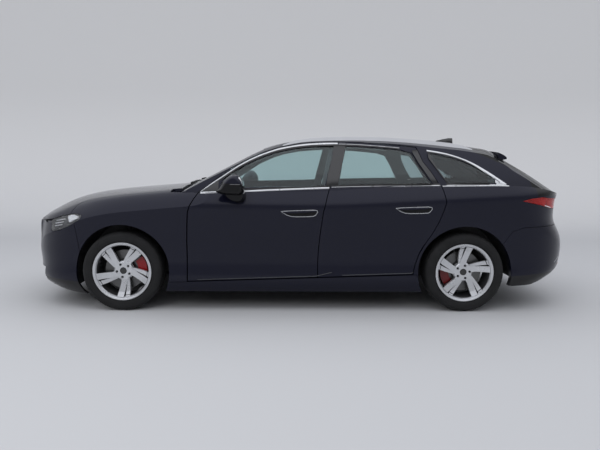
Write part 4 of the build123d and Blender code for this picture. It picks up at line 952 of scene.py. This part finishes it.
lip_outline = [(0.168, 0.853), (0.120, 0.857), (0.0, 0.862), (-0.105, 0.866), (-0.132, 0.862),
               (-0.137, 0.850), (-0.122, 0.826), (-0.104, 0.815), (-0.06, 0.812), (0.04, 0.810),
               (0.085, 0.813), (0.118, 0.824), (0.150, 0.843)]
for hand, side in SIDES:
    for door in ("front", "rear"):
        tree = skin_of(f"{door}_door_{hand}")
        shift_x, shift_z = HANDLE_LIFT[door]
        body = f"{door}_door_{hand}"
        outline = [(x + shift_x, z + shift_z) for x, z in lip_outline]
        places = []
        for x, z in outline:
            spot, out = place_on_side(tree, x, z, side)
            places.append(spot + out * 0.0018)
        tube_along(f"handle_lip_{door}_{hand}", places, 0.0036, HANDLE_METAL, body)
        # A thin near-black patch on the door's skin paints in the shade of the recess.
        recess_shade_rows = []
        for x in steps(HANDLE_FRONT - 0.012, HANDLE_REAR + 0.004, 30):
            top_z = 0.853 + (0.866 - 0.853) * (0.168 - x) / 0.273
            low_z = 0.812 if x < 0.085 else 0.813 + (0.853 - 0.813) * ((x - 0.085) / 0.083) ** 1.3
            low_z = max(low_z, 0.812 + max(0.0, (-0.104 - x)) / 0.033 * 0.038)
            recess_shade_rows.append([(x + shift_x, low_z + shift_z + (top_z - low_z) * i / 4) for i in range(5)])
        lay_trim(f"handle_recess_shade_{door}_{hand}", tree, side, recess_shade_rows, (0.0004, 0.0008, 0.0009, 0.0008, 0.0004),
                 HANDLE_RECESS_SHADE, body)
        grip = []
        widths = []
        for i, x in enumerate(steps(0.150, -0.128, 19)):
            t = i / 18
            spot, out = place_on_side(tree, x + shift_x, 0.8475 + 0.010 * t + shift_z, side)
            lift = 0.004 + 0.013 * math.sin(math.pi * t) ** 0.5
            grip.append(spot + out * lift)
            widths.append(0.0045 + 0.0050 * math.sin(math.pi * min(1, t * 1.15 + 0.02)) ** 0.6)
        tube_along(f"handle_grip_{door}_{hand}", grip, widths, PAINT, body, 12, closed=False, squash=0.7)
print("handles on four doors")

# %% [markdown]
# ## Wheels
# The alloy wheels come from the engineering model with their spokes and lug seats.  The disc
# and the inside of the barrel are part of the same node, so a mask by radius and depth makes the
# disc dark steel and paints the inside of the barrel near black as the shade inside the wheel,
# while the spokes and the flange stay silver.  Bolts, caps and valves are added.

# %% Wheel and caliper finishes
FRONT_AXLE_X, REAR_AXLE_X, AXLE_Z, WHEEL_Y = 1.5045, -1.3905, 0.336, 0.790
SPOKE_DEPTH, DISC_RADIUS, BARREL_RADIUS, FLANGE_DEPTH = 0.018, 0.185, 0.2035, 0.084
CALIPER_OUT, CALIPER_RADIUS = 0.7245, 0.098      # the casting is red beyond both


def axle_place(tree, axle_x):
    node = tree.nodes.new("ShaderNodeGroup")
    node.node_tree = AROUND_AXLE
    node.inputs["Axle X"].default_value = axle_x
    node.inputs["Axle Z"].default_value = AXLE_Z
    return node.outputs["Radius"], node.outputs["Out"]


for end, axle_x in (("front", FRONT_AXLE_X), ("rear", REAR_AXLE_X)):
    made = grained(f"{end}_wheel_silver", (0.66, 0.67, 0.69), 0.30, 600, 0.12, 0.03, 0.75, 0.6)
    tree = made.node_tree
    radius, out = axle_place(tree, axle_x)
    deep = under(tree, out, WHEEL_Y + SPOKE_DEPTH)
    # The inside of the barrel and the deep face round the disc get a near-black colour: painted shade.
    barrel_shade_mask = math_node(tree, "MULTIPLY", over(tree, radius, BARREL_RADIUS),
                       under(tree, out, WHEEL_Y + FLANGE_DEPTH))
    inner_shade_mask = math_node(tree, "MULTIPLY", deep, over(tree, radius, DISC_RADIUS))
    barrel_shade_mask = math_node(tree, "MAXIMUM", barrel_shade_mask, inner_shade_mask)
    disc = math_node(tree, "MULTIPLY", deep, under(tree, radius, DISC_RADIUS))
    mask_finish(made, barrel_shade_mask, (0.035, 0.035, 0.037), 0.5, 0.3)
    mask_finish(made, disc, (0.13, 0.13, 0.13), 0.42, 0.8)
    finish_node([f"{end}_wheel_left", f"{end}_wheel_right"], made)
    carrier = grained(f"{end}_caliper_and_carrier", (0.05, 0.05, 0.053), 0.6, 260, 0.5, 0.4, 0.6)
    tree = carrier.node_tree
    radius, out = axle_place(tree, axle_x)
    red = math_node(tree, "MULTIPLY", over(tree, out, CALIPER_OUT), over(tree, radius, CALIPER_RADIUS))
    # The rear caliper's red is the front's at about half the brightness: painted shade.
    mask_finish(carrier, red, (0.33, 0.006, 0.008) if end == "front" else (0.16, 0.004, 0.006), 0.3, 0.0)
    finish_node(["front_knuckle_left", "front_knuckle_right"] if end == "front" else ["rear_axle"], carrier)

# %% Bolts, caps and valves
LUG_CIRCLE, LUG_ANGLE, LUGS = 0.056, 85, 5
PARKED_TURN = {"front": 31, "rear": -10}
BOLT_STEEL = grained("bolt_steel", (0.045, 0.045, 0.048), 0.38, 500, 0.3, 0.15, 0.8)
CAP_BLACK = grained("cap_black", (0.012, 0.012, 0.013), 0.25, 600, 0.1, 0.05, 0.0, 0.5)


def lathe(name, profile, segments, made, place):
    """Turn a profile of (along Y, radius) about Y."""
    verts = []
    for y, r in profile:
        for s in range(segments):
            turn = 2 * math.pi * s / segments
            verts.append(place @ Vector((r * math.cos(turn), y, r * math.sin(turn))))
    piece = turn_right(add_mesh(name, verts, ring_faces(len(profile), segments), made, smooth=True))
    piece.data.set_sharp_from_angle(angle=math.radians(32))
    return piece


def wheel_place(end, side):
    """From a wheel's own frame, its outside at +Y, to where it stands."""
    turn = Matrix.Rotation(math.radians(PARKED_TURN[end]), 4, "Y")
    half = Matrix.Rotation(math.pi, 4, "Z") if side < 0 else Matrix.Identity(4)
    centre = Vector((FRONT_AXLE_X if end == "front" else REAR_AXLE_X, side * WHEEL_Y, AXLE_Z))
    return Matrix.Translation(centre) @ half @ turn


BOLT = [(0.0465, 0.0100), (0.0478, 0.0100), (0.0484, 0.0086), (0.0562, 0.0082), (0.0574, 0.0070),
        (0.0574, 0.0045), (0.0540, 0.0040)]
CAP = [(0.0502, 0.0286), (0.0588, 0.0286), (0.0602, 0.0276), (0.0596, 0.0262), (0.0590, 0.0240),
       (0.0598, 0.0150), (0.0602, 0.0040)]
VALVE = [(0.0700, 0.0030), (0.0760, 0.0046), (0.0900, 0.0042), (0.0905, 0.0030), (0.0940, 0.0028)]
for end in ("front", "rear"):
    for hand, side in SIDES:
        place = wheel_place(end, side)
        body = f"{end}_wheel_{hand}"
        for k in range(LUGS):
            turn = Matrix.Rotation(math.radians(72 * k), 4, "Y")
            lean = math.radians(LUG_ANGLE)
            seat = Vector((-LUG_CIRCLE * math.cos(lean), 0, LUG_CIRCLE * math.sin(lean)))
            bolt_place = place @ turn @ Matrix.Translation(seat)
            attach(lathe(f"bolt_{k}_{end}_{hand}", BOLT, 6, BOLT_STEEL, bolt_place), body)
        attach(lathe(f"centre_cap_{end}_{hand}", CAP, 40, CAP_BLACK, place), body)
        stem = place @ Matrix.Rotation(math.radians(36), 4, "Y")
        stem = stem @ Matrix.Translation(Vector((0.0, 0, 0.2045)))
        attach(lathe(f"valve_{end}_{hand}", VALVE, 12, CAP_BLACK, stem), body)
print("bolts, caps and valves on four wheels")

# %% [markdown]
# ## Tyres
# The tyre's tread can't be a bump: its grooves show against the floor.  One height rule gives
# the radius at each place across the tread and round it, with four straight grooves, slanting
# cuts through the shoulders and fine raised rings on the side wall.  Its size is the CAD tyre's.

# %% Tyres with tread
BLOCKS, PER_BLOCK = 64, 4
side_profile = [(0.0950, 0.2288), (0.0952, 0.2460), (0.0990, 0.2510), (0.1040, 0.2560), (0.1040, 0.2585),
                (0.1085, 0.2620), (0.1108, 0.2700), (0.1100, 0.2715), (0.1115, 0.2780), (0.1124, 0.2850),
                (0.1118, 0.2950), (0.1106, 0.3010), (0.1114, 0.3025), (0.1086, 0.3110), (0.1040, 0.3185),
                (0.0990, 0.3245), (0.0950, 0.3282)]
tread_profile = [(0.0890, 0.3316), (0.0820, 0.3332), (0.0740, 0.3345), (0.0640, 0.3350), (0.0560, 0.3353),
                 (0.0545, 0.3290), (0.0465, 0.3290), (0.0450, 0.3355), (0.0330, 0.3357), (0.0210, 0.3358),
                 (0.0195, 0.3290), (0.0115, 0.3290), (0.0100, 0.3359), (0.0, 0.33595)]
across = side_profile + tread_profile
across = across + [(-w, r) for w, r in reversed(across[:-1])]
TREAD_RUBBER = grained("tread_rubber", (0.0075, 0.0075, 0.0080), 0.80, 600, 0.45, 0.3)


def tyre_piece(end, hand, side):
    """One tyre as a grid of radii, its section across and its blocks round."""
    place = wheel_place(end, side)
    verts = []
    around = BLOCKS * PER_BLOCK
    for k in range(around):
        for w, r in across:
            slant = int(round(abs(w) / 0.012)) if abs(w) > 0.03 else 0
            in_cut = (k + slant * (1 if w > 0 else -1)) % (PER_BLOCK * 2) == 0
            if in_cut and 0.056 < abs(w) < 0.100 and r > 0.322:
                r = r - 0.0045
            if (k % (PER_BLOCK * 2) == PER_BLOCK) and 0.021 < abs(w) < 0.046 and r > 0.330:
                r = r - 0.0025
            turn = 2 * math.pi * k / around
            verts.append(place @ Vector((r * math.cos(turn), w, r * math.sin(turn))))
    faces = ring_faces(around, len(across), closed=True)
    piece = turn_right(add_mesh(f"tyre_{end}_{hand}", verts, faces, TREAD_RUBBER, smooth=True))
    piece.data.set_sharp_from_angle(angle=math.radians(30))
    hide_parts(f"{end}_tyre_{hand}")
    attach(piece, f"{end}_wheel_{hand}")
    return piece


for end in ("front", "rear"):
    for hand, side in SIDES:
        tyre = tyre_piece(end, hand, side)
print("tyre triangles", 2 * len(tyre.data.polygons))

# %% [markdown]
# ## Seats
# Each front seat is a cushion and a back with side bolsters and a head restraint, covered in
# dark leather with sewn channels.  The engineering solids are plain blocks, so padded forms
# replace them.  A form is a rounded box whose faces crown outward and whose sides pull in
# between the corners, with channels pressed in as height.

# %% Padded forms


def padded_form(name, size, place, channels, made, bolster=0.0, pull=0.012, crown=0.022, across=25, along=25):
    """A crowned cushion: size (length, width, thickness) with its top at +Z before it is placed."""
    length, width, thick = size
    verts, faces = [], []

    def outline(u, v):
        """Push a point of the unit square to a square with rounded corners and sides pulled in."""
        x, y = u * length / 2, v * width / 2
        x -= math.copysign(pull * max(0.0, abs(u) - 0.6) / 0.4 * (1 - v * v), u)
        y -= math.copysign(pull * max(0.0, abs(v) - 0.6) / 0.4 * (1 - u * u), v)
        corner = max(0.0, abs(u) - 0.80) / 0.20 * max(0.0, abs(v) - 0.80) / 0.20
        return x * (1 - 0.07 * corner), y * (1 - 0.07 * corner)

    def top(u, v):
        edge = max(abs(u), abs(v))
        fall = 0.0 if edge < 0.72 else ((edge - 0.72) / 0.28) ** 2.6
        rise = crown * (1 - u * u) * (1 - v * v)
        wing = bolster * max(0.0, (abs(v) - 0.52) / 0.30 if abs(v) < 0.82 else (1 - abs(v)) / 0.18)
        groove = 0.0
        for axis, at in channels:
            away = (u - at) * length / 2 if axis == "x" else (abs(v) - at) * width / 2
            groove = max(groove, 0.008 * math.exp(-(away / 0.006) ** 2) * (1 if edge < 0.93 else 0))
        return thick / 2 + rise + min(wing, bolster) - groove - fall * thick * 0.42

    for face in (1, -1):
        for i in range(along):
            for j in range(across):
                u, v = -1 + 2 * i / (along - 1), -1 + 2 * j / (across - 1)
                u, v = math.copysign(abs(u) ** 0.85, u), math.copysign(abs(v) ** 0.85, v)
                x, y = outline(u, v)
                edge = max(abs(u), abs(v))
                low = -thick / 2 + (0.0 if edge < 0.8 else ((edge - 0.8) / 0.2) ** 2.6 * thick * 0.34)
                verts.append(place @ Vector((x, y, top(u, v) if face > 0 else low)))
    total = along * across
    for face in (0, 1):
        for i in range(along - 1):
            for j in range(across - 1):
                a = face * total + i * across + j
                faces.append((a, a + 1, a + across + 1, a + across))
    rim = list(range(across)) + [i * across + across - 1 for i in range(1, along)]
    rim += [(along - 1) * across + j for j in range(across - 2, -1, -1)]
    rim += [i * across for i in range(along - 2, 0, -1)]
    for k, a in enumerate(rim):
        b = rim[(k + 1) % len(rim)]
        faces.append((a, b, total + b, total + a))
    piece = turn_right(add_mesh(name, verts, faces, made, smooth=True))
    smooth = piece.modifiers.new("smooth", "SUBSURF")
    smooth.levels = smooth.render_levels = 1
    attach(piece, "body")
    return piece


# %% Seat leather
SEAT_LEATHER = grained("dark_seat_leather", (0.030, 0.029, 0.030), 0.48, 420, 0.35, 0.7)
SEAT_LEATHER.node_tree.nodes["Principled BSDF"].inputs["Sheen Weight"].default_value = 0.15
SEAT_Y, SEAT_WIDTH = 0.370, 0.464


def placed(x, y, z, tilt):
    """Move to a place, then lean about the car's width."""
    return Matrix.Translation((x, y, z)) @ Matrix.Rotation(math.radians(tilt), 4, "Y")


for name in ("front_seats", "rear_bench"):
    block_low, block_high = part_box(name)
    print(name, [round(v, 3) for v in (*block_low, *block_high)])
SEAT_CHANNELS = [("x", -0.35), ("x", 0.0), ("x", 0.35), ("y", 0.56)]
BENCH_CHANNELS = [("x", -0.3), ("x", 0.25), ("y", 0.62)]


def lay_padding(node, name, size, place, channels, *shape):
    """A padded form in seat leather that stands for part of a CAD node."""
    piece = padded_form(name, size, place, channels, SEAT_LEATHER, *shape)
    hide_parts(node)


for hand, side in SIDES:
    y = side * SEAT_Y
    lay_padding("front_seats", f"seat_cushion_{hand}", (0.555, SEAT_WIDTH - 0.012, 0.125),
                placed(0.160, y, 0.362, -5), SEAT_CHANNELS, 0.030)
    lay_padding("front_seats", f"seat_back_{hand}", (0.590, SEAT_WIDTH - 0.024, 0.092),
                placed(-0.172, y, 0.672, 68), SEAT_CHANNELS, 0.034)
    lay_padding("front_seats", f"head_restraint_{hand}", (0.146, 0.222, 0.084),
                placed(-0.2975, y, 1.0565, 78), [("x", -0.3)], 0.0, 0.006, 0.012, 17, 13)
for k, y in enumerate((-0.412, 0.0, 0.412)):
    lay_padding("rear_bench", f"bench_cushion_{k}", (0.466, 0.409, 0.124),
                placed(-0.665, y, 0.397, -3), BENCH_CHANNELS, 0.012)
for k, y in enumerate((-0.335, 0.0, 0.335)):
    lay_padding("rear_bench", f"bench_back_{k}", (0.492, 0.331, 0.092),
                placed(-0.937, y, 0.716, 73.7), BENCH_CHANNELS, 0.012)
print("seats and bench laid")

# %% [markdown]
# ## What carries the seats
# Each front cushion stands on a plinth, and the bench stands on a long riser.
# A plinth is a loft between rectangles with cut corners, so it narrows upward as a moulded
# cover does.  Two polished posts carry each head restraint.

# %% Plinths, riser and posts


def lofted_plinth(name, sections, made, body):
    """A closed form over rectangles with cut corners: each (z, x0, x1, y0, y1, cut)."""
    verts = []
    for z, x0, x1, y0, y1, cut in sections:
        verts += [(x, y, z) for x, y in (
            (x0 + cut, y0), (x1 - cut, y0), (x1, y0 + cut), (x1, y1 - cut),
            (x1 - cut, y1), (x0 + cut, y1), (x0, y1 - cut), (x0, y0 + cut))]
    piece = turn_right(add_mesh(name, verts, ring_faces(len(sections), 8), made))
    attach(piece, body)
    return piece


SEAT_PLASTIC = grained("seat_base_plastic", (0.018, 0.018, 0.019), 0.55, 700, 0.3, 0.5)
for hand, side in SIDES:
    y = side * SEAT_Y
    plinth = lofted_plinth(f"seat_plinth_{hand}", [
        (0.2025, -0.055, 0.375, y - 0.170, y + 0.170, 0.012),
        (0.245, -0.045, 0.365, y - 0.162, y + 0.162, 0.016),
        (0.262, -0.052, 0.372, y - 0.176, y + 0.176, 0.02),
        (0.312, -0.050, 0.360, y - 0.170, y + 0.170, 0.03)], SEAT_PLASTIC, "body")
    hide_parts("front_seats")
    for shift in (-0.044, 0.044):
        post = [Vector((x, y + shift, z)) for x, z in ((-0.300, 1.010), (-0.290, 0.975), (-0.278, 0.935))]
        post = tube_along(f"restraint_post_{hand}_{int(shift * 1000)}", post, 0.0058, STEEL, "body", 14,
                          closed=False)
        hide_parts("front_seats")
riser = lofted_plinth("bench_riser", [
    (0.2025, -0.895, -0.505, -0.555, 0.555, 0.02), (0.30, -0.890, -0.500, -0.560, 0.560, 0.02),
    (0.345, -0.885, -0.470, -0.600, 0.600, 0.03)], SEAT_PLASTIC, "body")
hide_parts("rear_bench")
print("plinths, posts and riser laid")

# %% [markdown]
# ## Steering wheel
# A steering wheel is a leather rim on three flat spokes round a padded hub.  The rim is a tube
# along a circle, and each spoke is a blade that is narrowest at the middle.

# %% Steering wheel
WHEEL_CENTRE = Vector((0.470, 0.370, 0.830))
COLUMN_LEAN = 24
wheel_lean = Matrix.Translation(WHEEL_CENTRE) @ Matrix.Rotation(math.radians(90 + COLUMN_LEAN), 4, "Y")
rim = []
for k in range(48):
    turn = 2 * math.pi * k / 48
    rim.append(wheel_lean @ Vector((0.180 * math.cos(turn), 0.180 * math.sin(turn), 0)))
rim_piece = tube_along("steering_rim", rim, 0.0145, SEAT_LEATHER, "body", 14)
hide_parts("steering_wheel")
hub_place = wheel_lean @ Matrix.Rotation(math.pi, 4, "X")
hub = padded_form("steering_hub", (0.112, 0.130, 0.040), hub_place, [], SOFT_DASH,
                  0.0, 0.010, 0.008, 15, 15)
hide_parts("steering_wheel")
for k, turn in enumerate((90, 270, 0)):
    outward = Matrix.Rotation(math.radians(turn), 4, "Z")
    verts = []
    for at in range(9):
        t = at / 8
        reach, half, deep = 0.045 + 0.128 * t, 0.024 - 0.011 * math.sin(math.pi * t), 0.008 - 0.003 * t
        for across, up in ((-half, -deep), (half, -deep), (half * 1.05, 0),
                           (half, deep), (-half, deep), (-half * 1.05, 0)):
            verts.append(wheel_lean @ outward @ Vector((reach, across, up)))
    spoke = turn_right(add_mesh(f"steering_spoke_{k}", verts, ring_faces(9, 6), SEAT_PLASTIC))
    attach(spoke, "body")
    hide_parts("steering_wheel")
shaft = [Vector((x, 0.370, z)) for x, z in ((0.475, 0.828), (0.56, 0.790), (0.66, 0.745), (0.76, 0.701))]
shaft = tube_along("steering_column", shaft, [0.030, 0.034, 0.032, 0.028], SEAT_PLASTIC, "body", 20,
                   closed=False)
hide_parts("steering_wheel")
print("steering wheel laid")

# %% [markdown]
# ## Trim on the nose and tail
# Plates, slats and reflectors are cut to the bumper or tailgate they sit on.  The line of sight runs along
# the car here, from the front or the rear, and the strip follows what it meets.

# %% Casting from the ends


def place_on_end(tree, y, z, end, last=None):
    """The place met along the car, and the way out of the skin there."""

    def reach_x(y_at, z_at):
        hit = tree.ray_cast(Vector((end * 3.0, y_at, z_at)), Vector((-end, 0, 0)))[0]
        return None if hit is None else hit.x

    x = reach_x(y, z)
    if x is None:
        return (None, None) if last is None else (Vector((last, y, z)), Vector((end, 0, 0)))
    slopes = []
    for dy, dz in ((0.006, 0), (0, 0.006)):
        ahead, behind = reach_x(y + dy, z + dz), reach_x(y - dy, z - dz)
        ahead = x if ahead is None or abs(ahead - x) > 0.02 else ahead
        behind = x if behind is None or abs(behind - x) > 0.02 else behind
        slopes.append((ahead - behind) / 0.012)
    return Vector((x, y, z)), Vector((end, -slopes[0] * end, -slopes[1] * end)).normalized()


def lay_end_trim(name, tree, end, rows, raise_by, made, body, sink=0.002):
    """A closed strip over rows of (y, z) places on the nose or the tail."""
    verts, faces = [], []
    wide = len(rows[0])
    last = None
    for row in rows:
        tops, backs = [], []
        for column, (y, z) in enumerate(row):
            spot, out = place_on_end(tree, y, z, end, last)
            last = spot.x
            tops.append(spot + out * raise_by[column])
            backs.append(spot - out * sink)
        verts += tops + backs
    for r in range(len(rows) - 1):
        a, b = r * 2 * wide, (r + 1) * 2 * wide
        for c in range(wide - 1):
            faces += [(a + c, a + c + 1, b + c + 1, b + c),
                      (a + wide + c, b + wide + c, b + wide + c + 1, a + wide + c + 1)]
        faces += [(a, b, b + wide, a + wide),
                  (a + wide - 1, a + 2 * wide - 1, b + 2 * wide - 1, b + wide - 1)]
    for start in (0, (len(rows) - 1) * 2 * wide):
        back = range(start + 2 * wide - 1, start + wide - 1, -1)
        faces.append((*range(start, start + wide), *back))
    piece = turn_right(add_mesh(name, verts, faces, made, smooth=True))
    piece.data.set_sharp_from_angle(angle=math.radians(35))
    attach(piece, body)
    return piece


def end_rows(y0, y1, low, high, count=30, across=5):
    """Rows over a level band between two heights."""
    return [[(y, low + (high - low) * i / (across - 1)) for i in range(across)] for y in steps(y0, y1, count)]


# %% Blank plates and their holders
PLATE_HALF, PLATE_LOW_FRONT, PLATE_LOW_REAR, PLATE_TALL = 0.260, 0.340, 0.772, 0.104
PLATE_WHITE = grained("blank_plate", (0.74, 0.74, 0.72), 0.35, 500, 0.06, 0.05)
front_skin, rear_skin, gate_skin = skin_of("front_bumper"), skin_of("rear_bumper"), skin_of("tailgate")
for label, tree, end, low, body in (("front", front_skin, 1, PLATE_LOW_FRONT, "body"),
                                    ("rear", gate_skin, -1, PLATE_LOW_REAR, "tailgate")):
    lay_end_trim(f"plate_holder_{label}", tree, end,
                 end_rows(-PLATE_HALF - 0.006, PLATE_HALF + 0.006, low - 0.006, low + PLATE_TALL + 0.006),
                 (0.0004, 0.0012, 0.0012, 0.0012, 0.0004), BLACK_PLASTIC, body)
    lay_end_trim(f"plate_{label}", tree, end, end_rows(-PLATE_HALF, PLATE_HALF, low, low + PLATE_TALL),
                 (0.0018, 0.0022, 0.0022, 0.0022, 0.0018), PLATE_WHITE, body)
print("blank plates laid")

# %% Slats in the lower intake
SLATS, RIBS = 4, 15
INTAKE_LOW, INTAKE_HIGH, INTAKE_HALF = 0.205, 0.318, 0.632


def intake_x(y):
    """The bumper's front at the intake's upper edge."""
    spot, out = place_on_end(front_skin, y, 0.336, 1, 2.3)
    return spot.x


for k in range(SLATS):
    z = INTAKE_LOW + 0.010 + (INTAKE_HIGH - INTAKE_LOW - 0.020) * k / (SLATS - 1)
    verts = []
    spans = steps(-INTAKE_HALF, INTAKE_HALF, 33)
    for y in spans:
        x = intake_x(y) - 0.040
        for back, up in ((0.0, -0.0015), (0.0, 0.0035), (-0.018, 0.0055), (-0.018, 0.0010)):
            verts.append((x + back, y, z + up))
    slat = add_mesh(f"intake_slat_{k}", verts, ring_faces(len(spans), 4), BLACK_PLASTIC)
    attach(turn_right(slat), "body")
for k in range(RIBS):
    y = -INTAKE_HALF + 0.03 + (2 * INTAKE_HALF - 0.06) * k / (RIBS - 1)
    x = intake_x(y) - 0.044
    rib = [Vector((x, y, INTAKE_LOW + 0.004)), Vector((x + 0.002, y, (INTAKE_LOW + INTAKE_HIGH) / 2)),
           Vector((x, y, INTAKE_HIGH - 0.004))]
    tube_along(f"intake_rib_{k}", rib, 0.0026, BLACK_PLASTIC, "body", 8, closed=False)
print(SLATS, "slats and", RIBS, "ribs")

# %% Rear reflectors and bumper vents
REFLECTOR_RED = grained("red_reflector", (0.35, 0.008, 0.008), 0.2, 300, 0.1, 0.3, 0.0, 0.6)
VENT_METAL = grained("vent_bright_edge", (0.34, 0.35, 0.36), 0.3, 600, 0.1, 0.03, 0.9)
for hand, side in SIDES:
    lay_end_trim(f"rear_reflector_{hand}", rear_skin, -1,
                 end_rows(side * 0.42, side * 0.62, 0.366, 0.384, 16, 4),
                 (0.0006, 0.0012, 0.0012, 0.0006), REFLECTOR_RED, "body")
    rows = []
    for x in steps(-2.222, -2.286, 12):
        z = 0.405 + 0.040 * (-2.222 - x) / 0.064
        rows.append([(x, z - 0.0045), (x, z), (x, z + 0.0045)])
    lay_trim(f"bumper_vent_edge_{hand}", rear_skin, side, rows, (0.0006, 0.0020, 0.0006), VENT_METAL, "body")
print("reflectors and vents laid")

# %% [markdown]
# ## Small fittings
# The mirror carries its glass on the rear face.  A thin dark metal strip finishes the foot of
# each door.  The wipers lie along the windscreen's foot, each with an arm that bends down to a
# slim blade.

# %% Mirror glass and door foot strips
MIRROR_SILVER = grained("mirror_silver", (0.80, 0.81, 0.82), 0.03, 300, 0.02, 0.005, 1.0)
for hand, side in SIDES:
    mirror_skin = skin_of(f"mirror_{hand}")
    door_body = f"front_door_{hand}"
    lay_end_trim(f"mirror_glass_{hand}", mirror_skin, -1,
                 end_rows(side * 0.955, side * 1.026, 1.066, 1.148, 10, 6),
                 (0.0008, 0.0014, 0.0014, 0.0014, 0.0014, 0.0008), MIRROR_SILVER, door_body)
FOOT_METAL = grained("door_foot_strip", (0.085, 0.087, 0.09), 0.3, 500, 0.1, 0.03, 0.9)


def foot_of(tree, x, side):
    """Lowest height at which a door is met."""
    z = 0.22
    while meet_side(tree, x, z, side) is None and z < 0.45:
        z += 0.002
    return z


for hand, side in SIDES:
    for door, x0, x1 in (("front", 0.870, -0.262), ("rear", -0.352, -0.950)):
        tree = skin_of(f"{door}_door_{hand}")
        rows = []
        for x in steps(x0, x1, 36):
            foot = foot_of(tree, x, side)
            foot = min(foot, rows[-1][0][1] + 0.004) if rows else foot
            rows.append([(x, foot + 0.004), (x, foot + 0.0065), (x, foot + 0.009)])
        lay_trim(f"door_foot_{door}_{hand}", tree, side, rows, (0.0004, 0.0014, 0.0004), FOOT_METAL,
                 f"{door}_door_{hand}")
print("mirrors and door feet laid")

# %% Wipers
screen_low, screen_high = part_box("windscreen")
screen_skin = skin_of("windscreen")


def on_screen(x, y, lift):
    """A place above the windscreen, along its slope."""
    hit, normal = screen_skin.ray_cast(Vector((x, y, 2.0)), Vector((0, 0, -1)))[:2]
    if hit is None:
        return None
    return hit + (normal if normal.z > 0 else -normal) * lift


print("windscreen", [round(v, 3) for v in (*screen_low, *screen_high)])
for label, y_pivot, y_tip in (("left", 0.60, -0.05), ("right", -0.02, -0.60)):
    blade = []
    for y in steps(y_pivot - 0.04, y_tip, 16):
        x = screen_high.x - 0.055
        while on_screen(x, y, 0.008) is None and x > screen_low.x:
            x -= 0.010
        blade.append(on_screen(x - 0.018, y, 0.008) or on_screen(x - 0.030, y, 0.008))
    blade = [p for p in blade if p is not None]
    tube_along(f"wiper_blade_{label}", blade, 0.0045, BLACK_PLASTIC, "body", closed=False)
    middle = blade[len(blade) // 2]
    lift = Vector((0.004, 0, 0.010))
    arm = [blade[0] + Vector((0.020, 0.02, 0.004)), blade[2] + lift, blade[4] + lift,
           middle + Vector((0, 0, 0.006))]
    tube_along(f"wiper_arm_{label}", arm, [0.010, 0.008, 0.006, 0.004], BLACK_PLASTIC, "body", 10,
               closed=False)
print("wipers laid")

# %% Size of what is shown
low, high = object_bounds()
print("visual box", [round(v, 3) for v in (*low, *high)])
